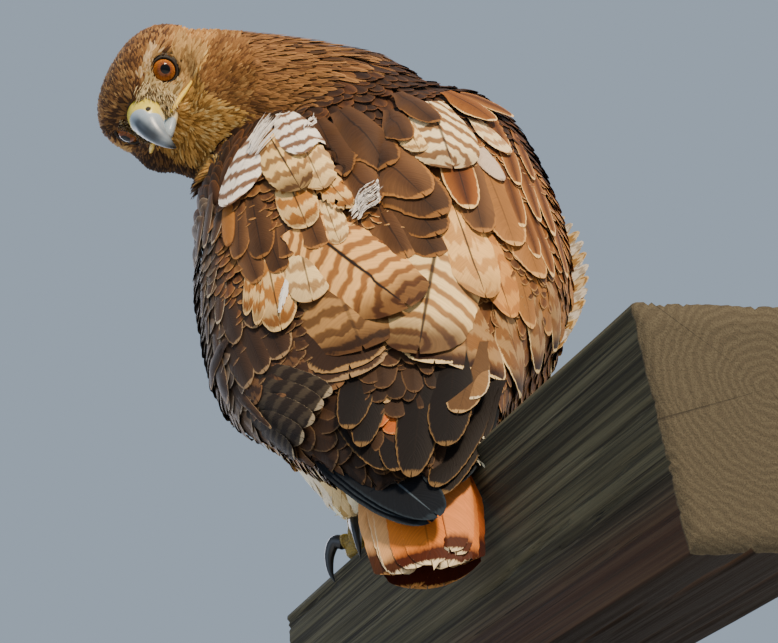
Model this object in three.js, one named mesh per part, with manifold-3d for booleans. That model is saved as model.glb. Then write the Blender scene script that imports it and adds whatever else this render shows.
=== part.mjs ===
import * as THREE from 'three';
import Module from 'manifold-3d';

// A red tailed hawk, life size, still, gripping a cut length of squared timber on a display stand.
// Millimetres, +Z up, the bird faces -Y and its left is +X; the origin is the centre of the base's underside.

const wasm = await Module();
wasm.setup();
const V = (x, y, z) => new THREE.Vector3(x, y, z);
const GAP = 0.3;

// Timber and stand: the timber's top left edge passes through EDGE_POINT.
const TIMBER_TOP = 320;
const TIMBER_WIDE = 89;
const TIMBER_TALL = 114;
const TIMBER_FAR = 125;
const TIMBER_NEAR = 315;
const ARRIS = 3;
const EDGE_POINT = V(39, -35, TIMBER_TOP);
const TIMBER_RUN = V(-0.45, 0.893, 0).normalize();
const TIMBER_OUT = V(TIMBER_RUN.y, -TIMBER_RUN.x, 0);
const BASE_LONG = 400;
const BASE_WIDE = 300;
const BASE_THICK = 20;
const BASE_ROUND = 12;
const ROD_RADIUS = 9;
const ROD_SPREAD = 120;

// Body frame: s runs up the back, q outward from it, x to the bird's left.
const BODY_PITCH = THREE.MathUtils.degToRad(64);
const BACK_POINT = V(0, 64, 416);
const AXIS = V(0, -Math.cos(BODY_PITCH), Math.sin(BODY_PITCH));
const DORSAL = V(0, Math.sin(BODY_PITCH), Math.cos(BODY_PITCH));
const body = (x, q, s) => BACK_POINT.clone()
  .addScaledVector(AXIS, s)
  .addScaledVector(DORSAL, q)
  .add(V(x, 0, 0));

// A smooth table: the first column is where, the others are sizes there.
function table(rows) {
  const curves = rows[0].slice(1).map((_, k) => new THREE.CatmullRomCurve3(
    rows.map((r) => V(r[0], r[k + 1], 0)), false, 'centripetal'));
  const sampled = curves.map((c) => c.getPoints(rows.length * 12));
  return (t) => sampled.map((pts) => {
    if (t <= pts[0].x) return pts[0].y;
    for (let i = 1; i < pts.length; i += 1) {
      if (t <= pts[i].x) {
        const f = (t - pts[i - 1].x) / (pts[i].x - pts[i - 1].x || 1);
        return pts[i - 1].y + f * (pts[i].y - pts[i - 1].y);
      }
    }
    return pts[pts.length - 1].y;
  });
}

// Outer form over the folded wings: s, half width, line of the back, depth of back half, depth of belly half.
const FORM = table([
  [-150, 16, -6, 5, 8],
  [-124, 24, -3, 9, 14],
  [-86, 50, -1, 22, 26],
  [-50, 74, 0, 34, 40],
  [-20, 91, 0, 44, 54],
  [20, 104, 1, 54, 62],
  [60, 110, 3, 60, 70],
  [110, 113, 5, 64, 74],
  [150, 113, 6, 66, 72],
  [185, 110, 5, 64, 66],
  [215, 105, 1, 58, 54],
  [240, 93, -7, 48, 44],
  [256, 76, -20, 35, 34],
  [266, 50, -36, 20, 22],
]);
// The right wing's end is drawn in behind the tail.
const RIGHT_SLIM = table([
  [-150, 1], [-86, 0.8], [-48, 0.74], [-20, 0.72], [5, 0.8], [35, 0.93], [70, 1], [240, 1],
]);
const ROUNDNESS = 2.25;
const bend = (value, power) => Math.sign(value) * Math.abs(value) ** power;

// Point on the form at station s and angle round from the back (0) over the side to the belly (pi).
function form(s, angle, side, inset = 0, slim = true) {
  const [half, back, deep, belly] = FORM(s);
  const width = half * (slim && side < 0 ? RIGHT_SLIM(s)[0] : 1);
  const c = bend(Math.cos(angle), 2 / ROUNDNESS);
  const n = bend(Math.sin(angle), 2 / ROUNDNESS);
  const reach = Math.max((c > 0 ? deep : belly) - inset, 1);
  return body(side * Math.max(width - inset, 1) * n, back - deep + reach * c, s);
}

// Triangles from points and faces.
function mesh(points, faces) {
  const geometry = new THREE.BufferGeometry();
  const numbers = points.flatMap((p) => [p.x, p.y, p.z]);
  geometry.setAttribute('position', new THREE.Float32BufferAttribute(numbers, 3));
  geometry.setIndex(faces.flat());
  return geometry;
}

// Rings of the same count joined to a closed skin, each end closed by a fan to its middle.
function loft(rings) {
  const n = rings[0].length;
  const points = rings.flat();
  const faces = [];
  for (let r = 0; r + 1 < rings.length; r += 1) {
    for (let i = 0; i < n; i += 1) {
      const a = r * n + i;
      const b = r * n + ((i + 1) % n);
      faces.push([a, b, a + n], [b, b + n, a + n]);
    }
  }
  const middle = (ring) => ring.reduce((sum, p) => sum.add(p), V(0, 0, 0)).divideScalar(n);
  const first = points.push(middle(rings[0])) - 1;
  const last = points.push(middle(rings[rings.length - 1])) - 1;
  const top = (rings.length - 1) * n;
  for (let i = 0; i < n; i += 1) {
    faces.push([first, (i + 1) % n, i], [last, top + i, top + ((i + 1) % n)]);
  }
  return solid(mesh(points, faces));
}

// Two matching grids joined round their rims to a closed plate.
function plate(outer, inner) {
  const rows = outer.length;
  const cols = outer[0].length;
  const points = [...outer.flat(), ...inner.flat()];
  const at = (r, c, under) => r * cols + c + (under ? rows * cols : 0);
  const faces = [];
  for (let r = 0; r + 1 < rows; r += 1) {
    for (let c = 0; c + 1 < cols; c += 1) {
      faces.push([at(r, c), at(r + 1, c), at(r, c + 1)], [at(r, c + 1), at(r + 1, c), at(r + 1, c + 1)]);
      faces.push([at(r, c, 1), at(r, c + 1, 1), at(r + 1, c, 1)]);
      faces.push([at(r, c + 1, 1), at(r + 1, c + 1, 1), at(r + 1, c, 1)]);
    }
  }
  const rim = [];
  for (let c = 0; c + 1 < cols; c += 1) rim.push([at(0, c), at(0, c + 1)]);
  for (let r = 0; r + 1 < rows; r += 1) rim.push([at(r, cols - 1), at(r + 1, cols - 1)]);
  for (let c = cols - 1; c > 0; c -= 1) rim.push([at(rows - 1, c), at(rows - 1, c - 1)]);
  for (let r = rows - 1; r > 0; r -= 1) rim.push([at(r, 0), at(r - 1, 0)]);
  const under = rows * cols;
  for (const [a, b] of rim) faces.push([a, b, a + under], [b, b + under, a + under]);
  return solid(mesh(points, faces));
}

// A closed geometry made ready to join and cut, its faces turned outward.
function solid(geometry) {
  const { points, faces } = mergePoints(geometry);
  let volume = 0;
  for (let i = 0; i < faces.length; i += 3) {
    const [a, b, c] = [0, 1, 2].map((k) => V(...points.slice(faces[i + k] * 3, faces[i + k] * 3 + 3)));
    volume += a.dot(b.cross(c));
  }
  if (volume < 0) faces.reverse();
  return new wasm.Manifold(new wasm.Mesh({ numProp: 3, vertProperties: points, triVerts: faces }));
}

function mergePoints(geometry) {
  const position = geometry.getAttribute('position');
  const seen = new Map();
  const points = [];
  const index = [];
  for (let i = 0; i < position.count; i += 1) {
    const p = [position.getX(i), position.getY(i), position.getZ(i)];
    const key = p.map((v) => Math.round(v * 1e4)).join();
    if (!seen.has(key)) {
      seen.set(key, points.length / 3);
      points.push(...p);
    }
    index.push(seen.get(key));
  }
  const source = geometry.index ? Array.from(geometry.index.array) : index.map((_, i) => i);
  const faces = [];
  for (let i = 0; i < source.length; i += 3) {
    const [a, b, c] = [index[source[i]], index[source[i + 1]], index[source[i + 2]]];
    if (a !== b && b !== c && a !== c) faces.push(a, b, c);
  }
  return { points: new Float32Array(points), faces: new Uint32Array(faces) };
}

// A ring across a path: side and top are unit directions, four radii left, right, top and bottom.
function ring(centre, side, top, [left, right, high, low], count, roundness = 2) {
  return Array.from({ length: count }, (_, i) => {
    const angle = (i / count) * Math.PI * 2;
    const c = bend(Math.cos(angle), 2 / roundness);
    const n = bend(Math.sin(angle), 2 / roundness);
    return centre.clone()
      .addScaledVector(side, c * (c > 0 ? left : right))
      .addScaledVector(top, n * (n > 0 ? high : low));
  });
}

// A round limb along a smooth path; sizes are [half width, half height] at each path point.
function limb(path, sizes, count, steps, top, swell = 0) {
  const curve = new THREE.CatmullRomCurve3(path, false, 'centripetal');
  const size = new THREE.CatmullRomCurve3(sizes.map(([a, b]) => V(a, b, 0)), false, 'centripetal');
  const rings = [];
  for (let i = 0; i <= steps; i += 1) {
    const t = i / steps;
    const along = curve.getTangent(t);
    const side = top.clone().cross(along).normalize();
    const up = along.clone().cross(side).normalize();
    const r = size.getPoint(t);
    const end = i === 0 ? -swell : i === steps ? swell : 0;
    const centre = curve.getPoint(t).addScaledVector(along, end);
    rings.push(ring(centre, side, up, [r.x + swell, r.x + swell, r.y + swell, r.y + swell], count));
  }
  return loft(rings);
}

// The largest piece left after cutting; crumbs at thin edges are dropped.
const main = (shape) => shape.decompose()
  .reduce((best, piece) => (piece.volume() > best.volume() ? piece : best));

const keep = (shape, normal, point, shift) => {
  const n = normal.clone().normalize();
  return shape.trimByPlane([n.x, n.y, n.z], n.dot(point) + shift);
};

// Trunk and folded wings share the form; the wings lie on it between two angles.
const WING_TOP = 240;
const WING_END = -124;
// How far round the form the folded wing reaches: s, degrees of its inner edge, degrees of its outer edge.
const WING_SPAN = table([
  [-124, 8, 60], [-86, 4, 88], [-24, 3, 96], [20, 3, 104], [60, 3, 110],
  [120, 5, 114], [170, 9, 112], [212, 20, 102], [240, 42, 80],
]);
const TRUNK_FROM = -118;
const TRUNK_TO = 264;
const TRUNK_RINGS = 14;
const TRUNK_ROUND = 22;
const FLANK_SWELL = 22;
const UNDER_WING_GAP = 2.4;
const WING_THICK = table([
  [-124, 1.6], [-86, 3], [-40, 6], [20, 10], [90, 13], [170, 13], [215, 9], [240, 5],
]);
const TRUNK_HALF = table([[-118, 26], [-90, 34], [-50, 48], [0, 72], [60, 96], [120, 100], [246, 100]]);

function trunkForm(swell) {
  const rings = [];
  for (let i = 0; i <= TRUNK_RINGS; i += 1) {
    const s = TRUNK_FROM + (TRUNK_TO - TRUNK_FROM) * (i / TRUNK_RINGS);
    const [widest] = TRUNK_HALF(s);
    const [from, to] = WING_SPAN(s).map(THREE.MathUtils.degToRad);
    const low = 1 - THREE.MathUtils.smoothstep(s, WING_TOP - 14, WING_TOP + 10);
    rings.push(Array.from({ length: TRUNK_ROUND }, (_, k) => {
      const turn = (k / TRUNK_ROUND) * Math.PI * 2;
      const side = turn <= Math.PI ? 1 : -1;
      const angle = turn <= Math.PI ? turn : Math.PI * 2 - turn;
      const under = THREE.MathUtils.smoothstep(angle, to - 0.05, to + 0.2);
      const over = THREE.MathUtils.smoothstep(angle, from - 0.05, from + 0.25);
      const covered = (WING_THICK(s)[0] + UNDER_WING_GAP) * low * over;
      const end = i === 0 ? -swell : i === TRUNK_RINGS ? swell : 0;
      const inset = covered * (1 - under) - under * 3 * low - swell;
      const p = form(s, angle, side, inset, false).addScaledVector(AXIS, end);
      const limit = widest + under * FLANK_SWELL * THREE.MathUtils.smoothstep(s, 0, 60) + swell;
      p.x = THREE.MathUtils.clamp(p.x, -limit, limit);
      return p;
    }));
  }
  return loft(rings);
}

const WING_ROWS = 14;
const WING_COLS = 7;
const WING_RIM = 1.1;

// A folded wing: the outer face is the form itself, the inner face a wing's thickness below it.
function wing(side, swell) {
  const outer = [];
  const inner = [];
  for (let r = 0; r <= WING_ROWS; r += 1) {
    const s = WING_TOP + (WING_END - WING_TOP) * (r / WING_ROWS);
    const [from, to] = WING_SPAN(s).map(THREE.MathUtils.degToRad);
    const thick = WING_THICK(s)[0];
    const end = r === 0 ? swell : r === WING_ROWS ? -swell : 0;
    const out = [];
    const inn = [];
    for (let c = 0; c <= WING_COLS; c += 1) {
      const v = c / WING_COLS;
      const angle = from + (to - from) * v + (c === 0 ? -1 : c === WING_COLS ? 1 : 0) * swell * 0.012;
      const edge = Math.min(1, Math.sin(Math.PI * v) * 2.4);
      out.push(form(s + end, angle, side, -swell));
      inn.push(form(s + end, angle, side, WING_RIM + (thick - WING_RIM) * edge + swell));
    }
    outer.push(out);
    inner.push(inn);
  }
  return plate(outer, inner);
}

// Primaries: a long blade from under each wing to its tip over the tail.
const PRIMARY_STEPS = 6;
const PRIMARY_HALF = [17, 18, 16.5, 14, 10.5, 6, 1.6];
function primaries(side, swell) {
  const start = side > 0 ? body(46, -22, -58) : body(-42, -24, -40);
  const tip = side > 0 ? body(-2, 0.5, -158) : body(-14, -4.2, -132);
  const outer = [];
  const inner = [];
  const along = tip.clone().sub(start).normalize();
  const across = along.clone().cross(DORSAL).normalize().multiplyScalar(side);
  const lift = across.clone().cross(along).normalize().multiplyScalar(side);
  for (let i = 0; i <= PRIMARY_STEPS; i += 1) {
    const t = i / PRIMARY_STEPS;
    const centre = start.clone().lerp(tip, t);
    const row = [];
    const low = [];
    for (const v of [-1, -0.5, 0.5, 1]) {
      const p = centre.clone().addScaledVector(across, v * (PRIMARY_HALF[i] + swell));
      const arch = -3.2 * v * v;
      row.push(p.clone().addScaledVector(lift, arch + 0.9 + swell));
      low.push(p.clone().addScaledVector(lift, arch - 0.9 - swell));
    }
    outer.push(row);
    inner.push(low);
  }
  return plate(outer, inner);
}

// Tail: twelve feathers closed to a shallow roof, the outer ones curled in under it to a second lip.
const TAIL_FROM = -92;
const TAIL_TO = -177;
const TAIL_ROWS = 6;
const TAIL_FEATHERS = 5;
// s, half width, height of the roof, line of the ridge, depth at the middle
const TAIL_SIZE = table([
  [-190, 23, 9, -10, 14], [-165, 26, 9, -10.5, 12.5], [-140, 29.5, 8, -12, 9], [-110, 32, 7, -14, 5],
  [-92, 32, 6, -16, 3.4],
]);
const TAIL_RIM = 2.4;
const TAIL_WALL = 1.3;
const TAIL_SHIFT = 1;
const TAIL_TIP_CURVE = 0.13;
const HOLLOW_FROM = -128;

// From one station down to the tips, drawn in by inset all round.
function tailForm(from, to, inset, swell) {
  const outer = [];
  const inner = [];
  for (let r = 0; r <= TAIL_ROWS; r += 1) {
    const out = [];
    const inn = [];
    for (let k = -TAIL_FEATHERS; k <= TAIL_FEATHERS; k += 1) {
      const v = k / TAIL_FEATHERS;
      const reach = (1 - TAIL_TIP_CURVE * v * v) * (to - TAIL_FROM) - swell - (from - TAIL_FROM);
      const s = from + swell + reach * (r / TAIL_ROWS);
      const [half, arch, back, deep] = TAIL_SIZE(s);
      const x = TAIL_SHIFT + v * (half + swell - inset);
      const q = back - arch * v * v;
      const under = TAIL_RIM + (deep - TAIL_RIM) * (1 - v * v);
      out.push(body(x, q + swell - inset, s));
      inn.push(body(x, Math.min(q - under - swell + inset, q - inset - 0.4), s));
    }
    outer.push(out);
    inner.push(inn);
  }
  return plate(outer, inner);
}

const tail = (swell) => tailForm(TAIL_FROM, TAIL_TO, 0, swell);
const tailHollow = () => tailForm(HOLLOW_FROM, TAIL_TO - 12, TAIL_WALL, 0);

// Neck, bending over the left shoulder.
const NECK_PATH = [
  V(0, -70, 552), V(1, -80, 588), V(8, -86, 613), V(34, -87, 634), V(66, -79, 645), V(95, -63, 648),
  V(114, -50, 645),
];
const NECK_SIZE = [[82, 62], [78, 59], [68, 55], [58, 51], [51, 50], [46, 46], [39, 39]];
const NECK_CUT = 0.36;
const NECK_HEAD_CUT = 0.84;
const neckCurve = new THREE.CatmullRomCurve3(NECK_PATH, false, 'centripetal');
const neckForm = (swell) => limb(NECK_PATH, NECK_SIZE, 16, 8, V(0, 1, 0.35).normalize(), swell);

// Head, in its own frame: left, back and up turned to the pose.
const HEAD_CENTRE = V(128.5, -40, 641.5);
const HEAD_LEFT = V(-0.64, 0.616, 0.459).normalize();
const UPRIGHT = V(0.771, 0.51, 0.382);
const HEAD_UP = UPRIGHT.clone().addScaledVector(HEAD_LEFT, -UPRIGHT.dot(HEAD_LEFT)).normalize();
const HEAD_BACK = HEAD_UP.clone().cross(HEAD_LEFT).normalize();
const headPoint = (left, forward, up) => HEAD_CENTRE.clone()
  .addScaledVector(HEAD_LEFT, left)
  .addScaledVector(HEAD_BACK, -forward)
  .addScaledVector(HEAD_UP, up);

// forward, half width, crown, throat
const HEAD_FORM = table([
  [-50, 22, 12, -30], [-46, 33, 20, -41], [-36, 42, 25.5, -51], [-24, 45, 27, -55], [-12, 44, 28, -54],
  [-2, 40.5, 27.5, -50], [7, 35, 26, -43.5], [14, 29, 23, -35.5], [20, 22.5, 19, -27.5], [25, 17, 15, -21.5],
  [29.5, 12.5, 11.5, -17.5],
]);
const HEAD_REAR = -50;
const HEAD_FRONT = 29.5;
const HEAD_RINGS = 14;
const HEAD_ROUND = 22;
const EYE_RADIUS = 10.6;
const EYE_AT = [20.6, 0.8, 0.3];
const EYE_LOOK = [0.62, 0.78, 0.05];
const LID_RADIUS = 9;
const LID_OUT = 7.5;
const bump = (a, b, across, along) => Math.exp(-((a / across) ** 2) - ((b / along) ** 2));

function headForm(swell) {
  const rings = [];
  for (let i = 0; i <= HEAD_RINGS; i += 1) {
    const forward = HEAD_REAR + (HEAD_FRONT - HEAD_REAR) * (i / HEAD_RINGS);
    const [half, crown, throat] = HEAD_FORM(forward);
    const middle = -4;
    rings.push(Array.from({ length: HEAD_ROUND }, (_, k) => {
      const angle = (k / HEAD_ROUND) * Math.PI * 2;
      const c = bend(Math.cos(angle), 2 / 2.2);
      const n = bend(Math.sin(angle), 2 / 2.2);
      const up = middle + n * (n > 0 ? crown - middle : middle - throat);
      const socket = 8.6 * bump(forward - 8.5, up - 0.5, 11.5, 9) + 3 * bump(forward - 20, up + 2, 8, 9);
      const brow = 3.2 * bump(forward - 9, up - 12.5, 13, 4.5);
      const side = Math.abs(c) > 0.35 ? 1 : Math.abs(c) / 0.35;
      return headPoint(c * (half + swell) + Math.sign(c) * side * (brow - socket), forward, up + n * swell);
    }));
  }
  return loft(rings);
}

// Bill: forward, up, half width, half height, slope of the path
const BILL_UPPER = [
  [24, -1, 12.4, 12.2, 0], [29.5, -1, 11.6, 12, 5], [35, -1.8, 10.2, 11.2, 13],
  [40.5, -3.6, 8.7, 9.9, 25], [45.3, -6.8, 7.1, 8.3, 40], [49, -10.8, 5.5, 6.4, 56],
  [51.6, -15.2, 3.9, 4.5, 70], [53.2, -19.2, 2.1, 2.5, 80], [53.6, -22.2, 0.6, 0.7, 84],
];
const BILL_LOWER = [
  [20, -17, 11, 4.4, 0], [28, -16.8, 9.6, 4.3, 0], [35.5, -17.2, 7.4, 3.9, 0], [41.5, -17.4, 4.9, 3.1, 2],
  [44.6, -17.3, 2.1, 1.7, 0],
];
function bill(rows, swell, count) {
  return loft(rows.map(([forward, up, half, high, slope]) => {
    const a = THREE.MathUtils.degToRad(slope);
    return Array.from({ length: count }, (_, k) => {
      const angle = (k / count) * Math.PI * 2;
      const n = Math.sin(angle) * (high + swell);
      return headPoint(Math.cos(angle) * (half + swell), forward + n * Math.sin(a), up + n * Math.cos(a));
    });
  }));
}

function ball(centre, radius) {
  const geometry = new THREE.SphereGeometry(radius, 12, 8);
  geometry.translate(centre.x, centre.y, centre.z);
  return solid(geometry);
}

// Legs.
const FOOT_AT = { left: V(39, -61, TIMBER_TOP), right: V(-31, -47, TIMBER_TOP) };
const SIDE_OF = { left: 1, right: -1 };

const thighPath = (name) => {
  const k = SIDE_OF[name];
  const f = FOOT_AT[name];
  return [
    V(k * 43, -4, 432),
    V(k * 45, -14, 404),
    V(k * 25 + f.x * 0.5, (f.y + 31) * 0.5 - 10, 379),
    V(k * 3 + f.x * 0.95, f.y + 31, 358),
    V(f.x + k * 1.5, f.y + 24, 344),
  ];
};
const THIGH_SIZE = [[30, 42], [29, 37], [23, 27], [14.5, 17], [9.5, 11]];
const thigh = (name, swell) => limb(thighPath(name), THIGH_SIZE, 14, 6, V(1, 0, 0), swell);

const shankPath = (name) => {
  const f = FOOT_AT[name];
  return [
    V(f.x, f.y + 1, TIMBER_TOP + 12),
    V(f.x, f.y + 9, TIMBER_TOP + 26),
    V(f.x + SIDE_OF[name], f.y + 24, TIMBER_TOP + 50),
  ];
};
const SHANK_SIZE = [[6.2, 5.2], [5, 5.2], [5.4, 6]];
const shank = (name, swell) => limb(shankPath(name), SHANK_SIZE, 8, 4, V(1, 0, 0), swell);

// Toes: heading from straight ahead (degrees, + to the bird's left), reach, thickness, length of claw.
const TOES = {
  left: [
    ['inner', -42, 31, 6.4, 21], ['middle', -8, 44, 5.8, 18],
    ['outer', 66, 11, 5.6, 15], ['hind', 180, 14, 6.4, 23],
  ],
  right: [
    ['inner', 46, 31, 6.4, 21], ['middle', 12, 44, 5.8, 18],
    ['outer', -22, 34, 5.2, 15], ['hind', 186, 22, 6.4, 23],
  ],
};
const heading = (degrees) => V(0, -1, 0).applyAxisAngle(V(0, 0, 1), THREE.MathUtils.degToRad(degrees));

// The left foot's outer and hind toes are bent up, their claws clenched over the timber's edge.
const CLENCH = 7;
const hookedOver = (name, label) => name === 'left' && (label === 'hind' || label === 'outer');

function toe(name, [label, degrees, reach, thick]) {
  const f = FOOT_AT[name];
  const d = heading(degrees);
  const at = (along, high) => f.clone().addScaledVector(d, along).add(V(0, 0, high));
  const low = thick + GAP;
  const lift = hookedOver(name, label) ? CLENCH : 0;
  const path = [
    at(-1, low + 3 + lift * 0.3), at(reach * 0.3, low + 1.6 + lift * 0.6), at(reach * 0.62, low + 0.2 + lift),
    at(reach * 0.86, low + 0.4 + lift), at(reach, low + lift),
  ];
  const sizes = [[1, 1], [0.94, 0.96], [0.84, 0.88], [0.9, 0.94], [0.6, 0.7]]
    .map((pair) => pair.map((v) => v * thick));
  return limb(path, sizes, 7, 4, V(0, 0, 1));
}

const CLAW_POINT = [0.35, 0.35];
function claw(name, [label, degrees, reach, thick, long], swell) {
  const f = FOOT_AT[name];
  const d = heading(degrees);
  const hooked = hookedOver(name, label);
  const lift = hooked ? CLENCH : 0;
  const at = (along, high) => f.clone().addScaledVector(d, reach + GAP + along).add(V(0, 0, high + lift));
  const path = hooked
    ? [at(-0.5, thick + 1.6), at(long * 0.36, thick + 3.4), at(long * 0.66, thick - 3.5),
      at(long * 0.72, thick - 13), at(long * 0.6, thick - 20)]
    : [at(-0.5, thick + 0.8), at(long * 0.3, thick + 3.6), at(long * 0.62, thick + 1.6),
      at(long * 0.86, thick - 3), at(long * 0.92, 1)];
  const root = thick * 0.56;
  const sizes = [[1, 1.15], [0.95, 1.1], [0.72, 0.85], [0.42, 0.5]]
    .map((pair) => pair.map((v) => v * root));
  return limb(path, [...sizes, CLAW_POINT], 6, 4, d.clone().add(V(0, 0, 1)).normalize(), swell);
}

function foot(name) {
  const f = FOOT_AT[name];
  const pad = new THREE.SphereGeometry(1, 8, 5);
  pad.scale(9.5, 11, 6.6);
  pad.translate(f.x, f.y - 1, TIMBER_TOP + 7.2);
  const anklePath = [V(f.x, f.y, TIMBER_TOP + 7), V(f.x, f.y + 1, TIMBER_TOP + 12 - GAP)];
  const ankle = limb(anklePath, [[7, 7.5], [6.4, 6]], 8, 2, V(1, 0, 0));
  return TOES[name].reduce((sum, t) => sum.add(toe(name, t)), solid(pad).add(ankle));
}

// Perch and stand.
function squared(long, wide, tall, round) {
  const shape = new THREE.Shape();
  const [a, b, r] = [wide / 2, tall / 2, round];
  shape.moveTo(-a + r, -b);
  shape.lineTo(a - r, -b);
  shape.quadraticCurveTo(a, -b, a, -b + r);
  shape.lineTo(a, b - r);
  shape.quadraticCurveTo(a, b, a - r, b);
  shape.lineTo(-a + r, b);
  shape.quadraticCurveTo(-a, b, -a, b - r);
  shape.lineTo(-a, -b + r);
  shape.quadraticCurveTo(-a, -b, -a + r, -b);
  return new THREE.ExtrudeGeometry(shape, { depth: long, bevelEnabled: false, curveSegments: 2 });
}

function timber(swell) {
  const long = TIMBER_FAR + TIMBER_NEAR;
  const geometry = squared(long, TIMBER_WIDE + 2 * swell, TIMBER_TALL + 2 * swell, ARRIS);
  const middle = EDGE_POINT.clone().addScaledVector(TIMBER_OUT, -TIMBER_WIDE / 2).add(V(0, 0, -TIMBER_TALL / 2));
  const start = middle.addScaledVector(TIMBER_RUN, -TIMBER_FAR);
  const place = new THREE.Matrix4().makeBasis(TIMBER_OUT, V(0, 0, 1), TIMBER_OUT.clone().cross(V(0, 0, 1)));
  if (TIMBER_OUT.clone().cross(V(0, 0, 1)).dot(TIMBER_RUN) < 0) geometry.translate(0, 0, -long);
  geometry.applyMatrix4(place);
  geometry.translate(start.x, start.y, start.z);
  return solid(geometry);
}

const timberAxis = EDGE_POINT.clone().addScaledVector(TIMBER_OUT, -TIMBER_WIDE / 2);
const rodPoint = (along) => timberAxis.clone().addScaledVector(TIMBER_RUN, along - timberAxis.dot(TIMBER_RUN));

function rod(along) {
  const high = TIMBER_TOP - TIMBER_TALL - BASE_THICK - 2 * GAP;
  const geometry = new THREE.CylinderGeometry(ROD_RADIUS, ROD_RADIUS, high, 24);
  geometry.rotateX(Math.PI / 2);
  const p = rodPoint(along);
  geometry.translate(p.x, p.y, BASE_THICK + GAP + high / 2);
  return solid(geometry);
}

function base() {
  const geometry = squared(BASE_THICK, BASE_WIDE, BASE_LONG, BASE_ROUND);
  geometry.rotateZ(Math.atan2(-TIMBER_RUN.x, TIMBER_RUN.y));
  return solid(geometry);
}

// Assembly.
const COLOURS = {
  feather: 0x7a5a3c, pale: 0xb98f5f, rufous: 0xb5622d, horn: 0x4a5058, eye: 0x9a5a2c,
  leg: 0xb09a4a, wood: 0x6c6a5c, stand: 0x333333, steel: 0x9aa0a6,
};

const group = new THREE.Group();
group.name = 'hawk';
const put = (name, shape, colour) => {
  const data = main(shape).getMesh();
  const geometry = new THREE.BufferGeometry();
  geometry.setAttribute('position', new THREE.Float32BufferAttribute(Array.from(data.vertProperties), 3));
  geometry.setIndex(Array.from(data.triVerts));
  const item = new THREE.Mesh(geometry, new THREE.MeshStandardMaterial({ color: colour }));
  item.name = name;
  group.add(item);
};

const wings = { left: wing(1, 0), right: wing(-1, 0) };
const wingRoom = wing(1, 0.45).add(wing(-1, 0.45));
const tips = { left: primaries(1, 0), right: primaries(-1, 0) };
const tipRoom = { left: primaries(1, 0.4), right: primaries(-1, 0.4) };
const tailShape = tail(0);
const tailRoom = tail(0.4);

const neckAt = neckCurve.getPoint(NECK_CUT);
const neckAlong = neckCurve.getTangent(NECK_CUT);
const headAt = neckCurve.getPoint(NECK_HEAD_CUT);
const headAlong = neckCurve.getTangent(NECK_HEAD_CUT);
const whole = neckForm(0);
const neckLow = keep(whole, neckAlong.clone().negate(), neckAt, GAP / 2);
const neckMid = keep(keep(whole, neckAlong, neckAt, GAP / 2), headAlong.clone().negate(), headAt, GAP / 2);
const neckHigh = keep(whole, headAlong, headAt, GAP / 2);

const timberRoom = timber(0.6);
const legs = thigh('left', 0.35).add(thigh('right', 0.35));
const trunk = trunkForm(0).add(neckLow).subtract(wingRoom).subtract(tailRoom)
  .subtract(tipRoom.left).subtract(tipRoom.right).subtract(legs).subtract(timberRoom);
put('trunk', trunk, COLOURS.feather);
put('neck', neckMid.subtract(trunkForm(0.7)).subtract(headForm(0.5)).subtract(wingRoom), COLOURS.feather);

const eyes = [1, -1].map((k) => headPoint(EYE_AT[0] * k, EYE_AT[1], EYE_AT[2]));
const lidAt = EYE_AT.map((v, i) => v + EYE_LOOK[i] * LID_OUT);
const lids = [1, -1].map((k) => headPoint(lidAt[0] * k, lidAt[1], lidAt[2]));
const head = headForm(0).add(neckHigh)
  .subtract(ball(eyes[0], EYE_RADIUS + GAP)).subtract(ball(eyes[1], EYE_RADIUS + GAP))
  .subtract(ball(lids[0], LID_RADIUS)).subtract(ball(lids[1], LID_RADIUS))
  .subtract(bill(BILL_UPPER, GAP, 14)).subtract(bill(BILL_LOWER, GAP, 12)).subtract(wingRoom);
put('head', head, COLOURS.feather);
put('eye_left', ball(eyes[0], EYE_RADIUS), COLOURS.eye);
put('eye_right', ball(eyes[1], EYE_RADIUS), COLOURS.eye);
put('bill_upper', bill(BILL_UPPER, 0, 14), COLOURS.horn);
put('bill_lower', bill(BILL_LOWER, 0, 12).subtract(bill(BILL_UPPER, GAP, 14)), COLOURS.horn);

put('wing_left', wings.left.subtract(wing(-1, 0.35)), COLOURS.feather);
put('wing_right', wings.right.subtract(timberRoom), COLOURS.feather);
put('primaries_left', tips.left.subtract(wingRoom), COLOURS.horn);
const rightTip = tips.right.subtract(wingRoom).subtract(tipRoom.left).subtract(timberRoom);
put('primaries_right', rightTip, COLOURS.horn);
const tailCut = tailShape.subtract(tailHollow()).subtract(tipRoom.left).subtract(tipRoom.right).subtract(wingRoom).subtract(timberRoom);
put('tail', tailCut, COLOURS.rufous);

for (const name of ['left', 'right']) {
  put(`thigh_${name}`, thigh(name, 0).subtract(shank(name, GAP)).subtract(wingRoom), COLOURS.pale);
  put(`shank_${name}`, shank(name, 0), COLOURS.leg);
  put(`foot_${name}`, foot(name).subtract(shank(name, GAP)), COLOURS.leg);
  for (const t of TOES[name]) {
    put(`talon_${name}_${t[0]}`, claw(name, t, 0).subtract(toe(name, t)), COLOURS.horn);
  }
}

put('perch_timber', timber(0), COLOURS.wood);
put('stand_base', base(), COLOURS.stand);
put('stand_rod_1', rod(-ROD_SPREAD / 2), COLOURS.steel);
put('stand_rod_2', rod(ROD_SPREAD / 2), COLOURS.steel);

export default group;
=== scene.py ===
import math
from functools import partial

import bpy
import numpy as np
from mathutils import Matrix, Vector
from mathutils.bvhtree import BVHTree


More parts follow.
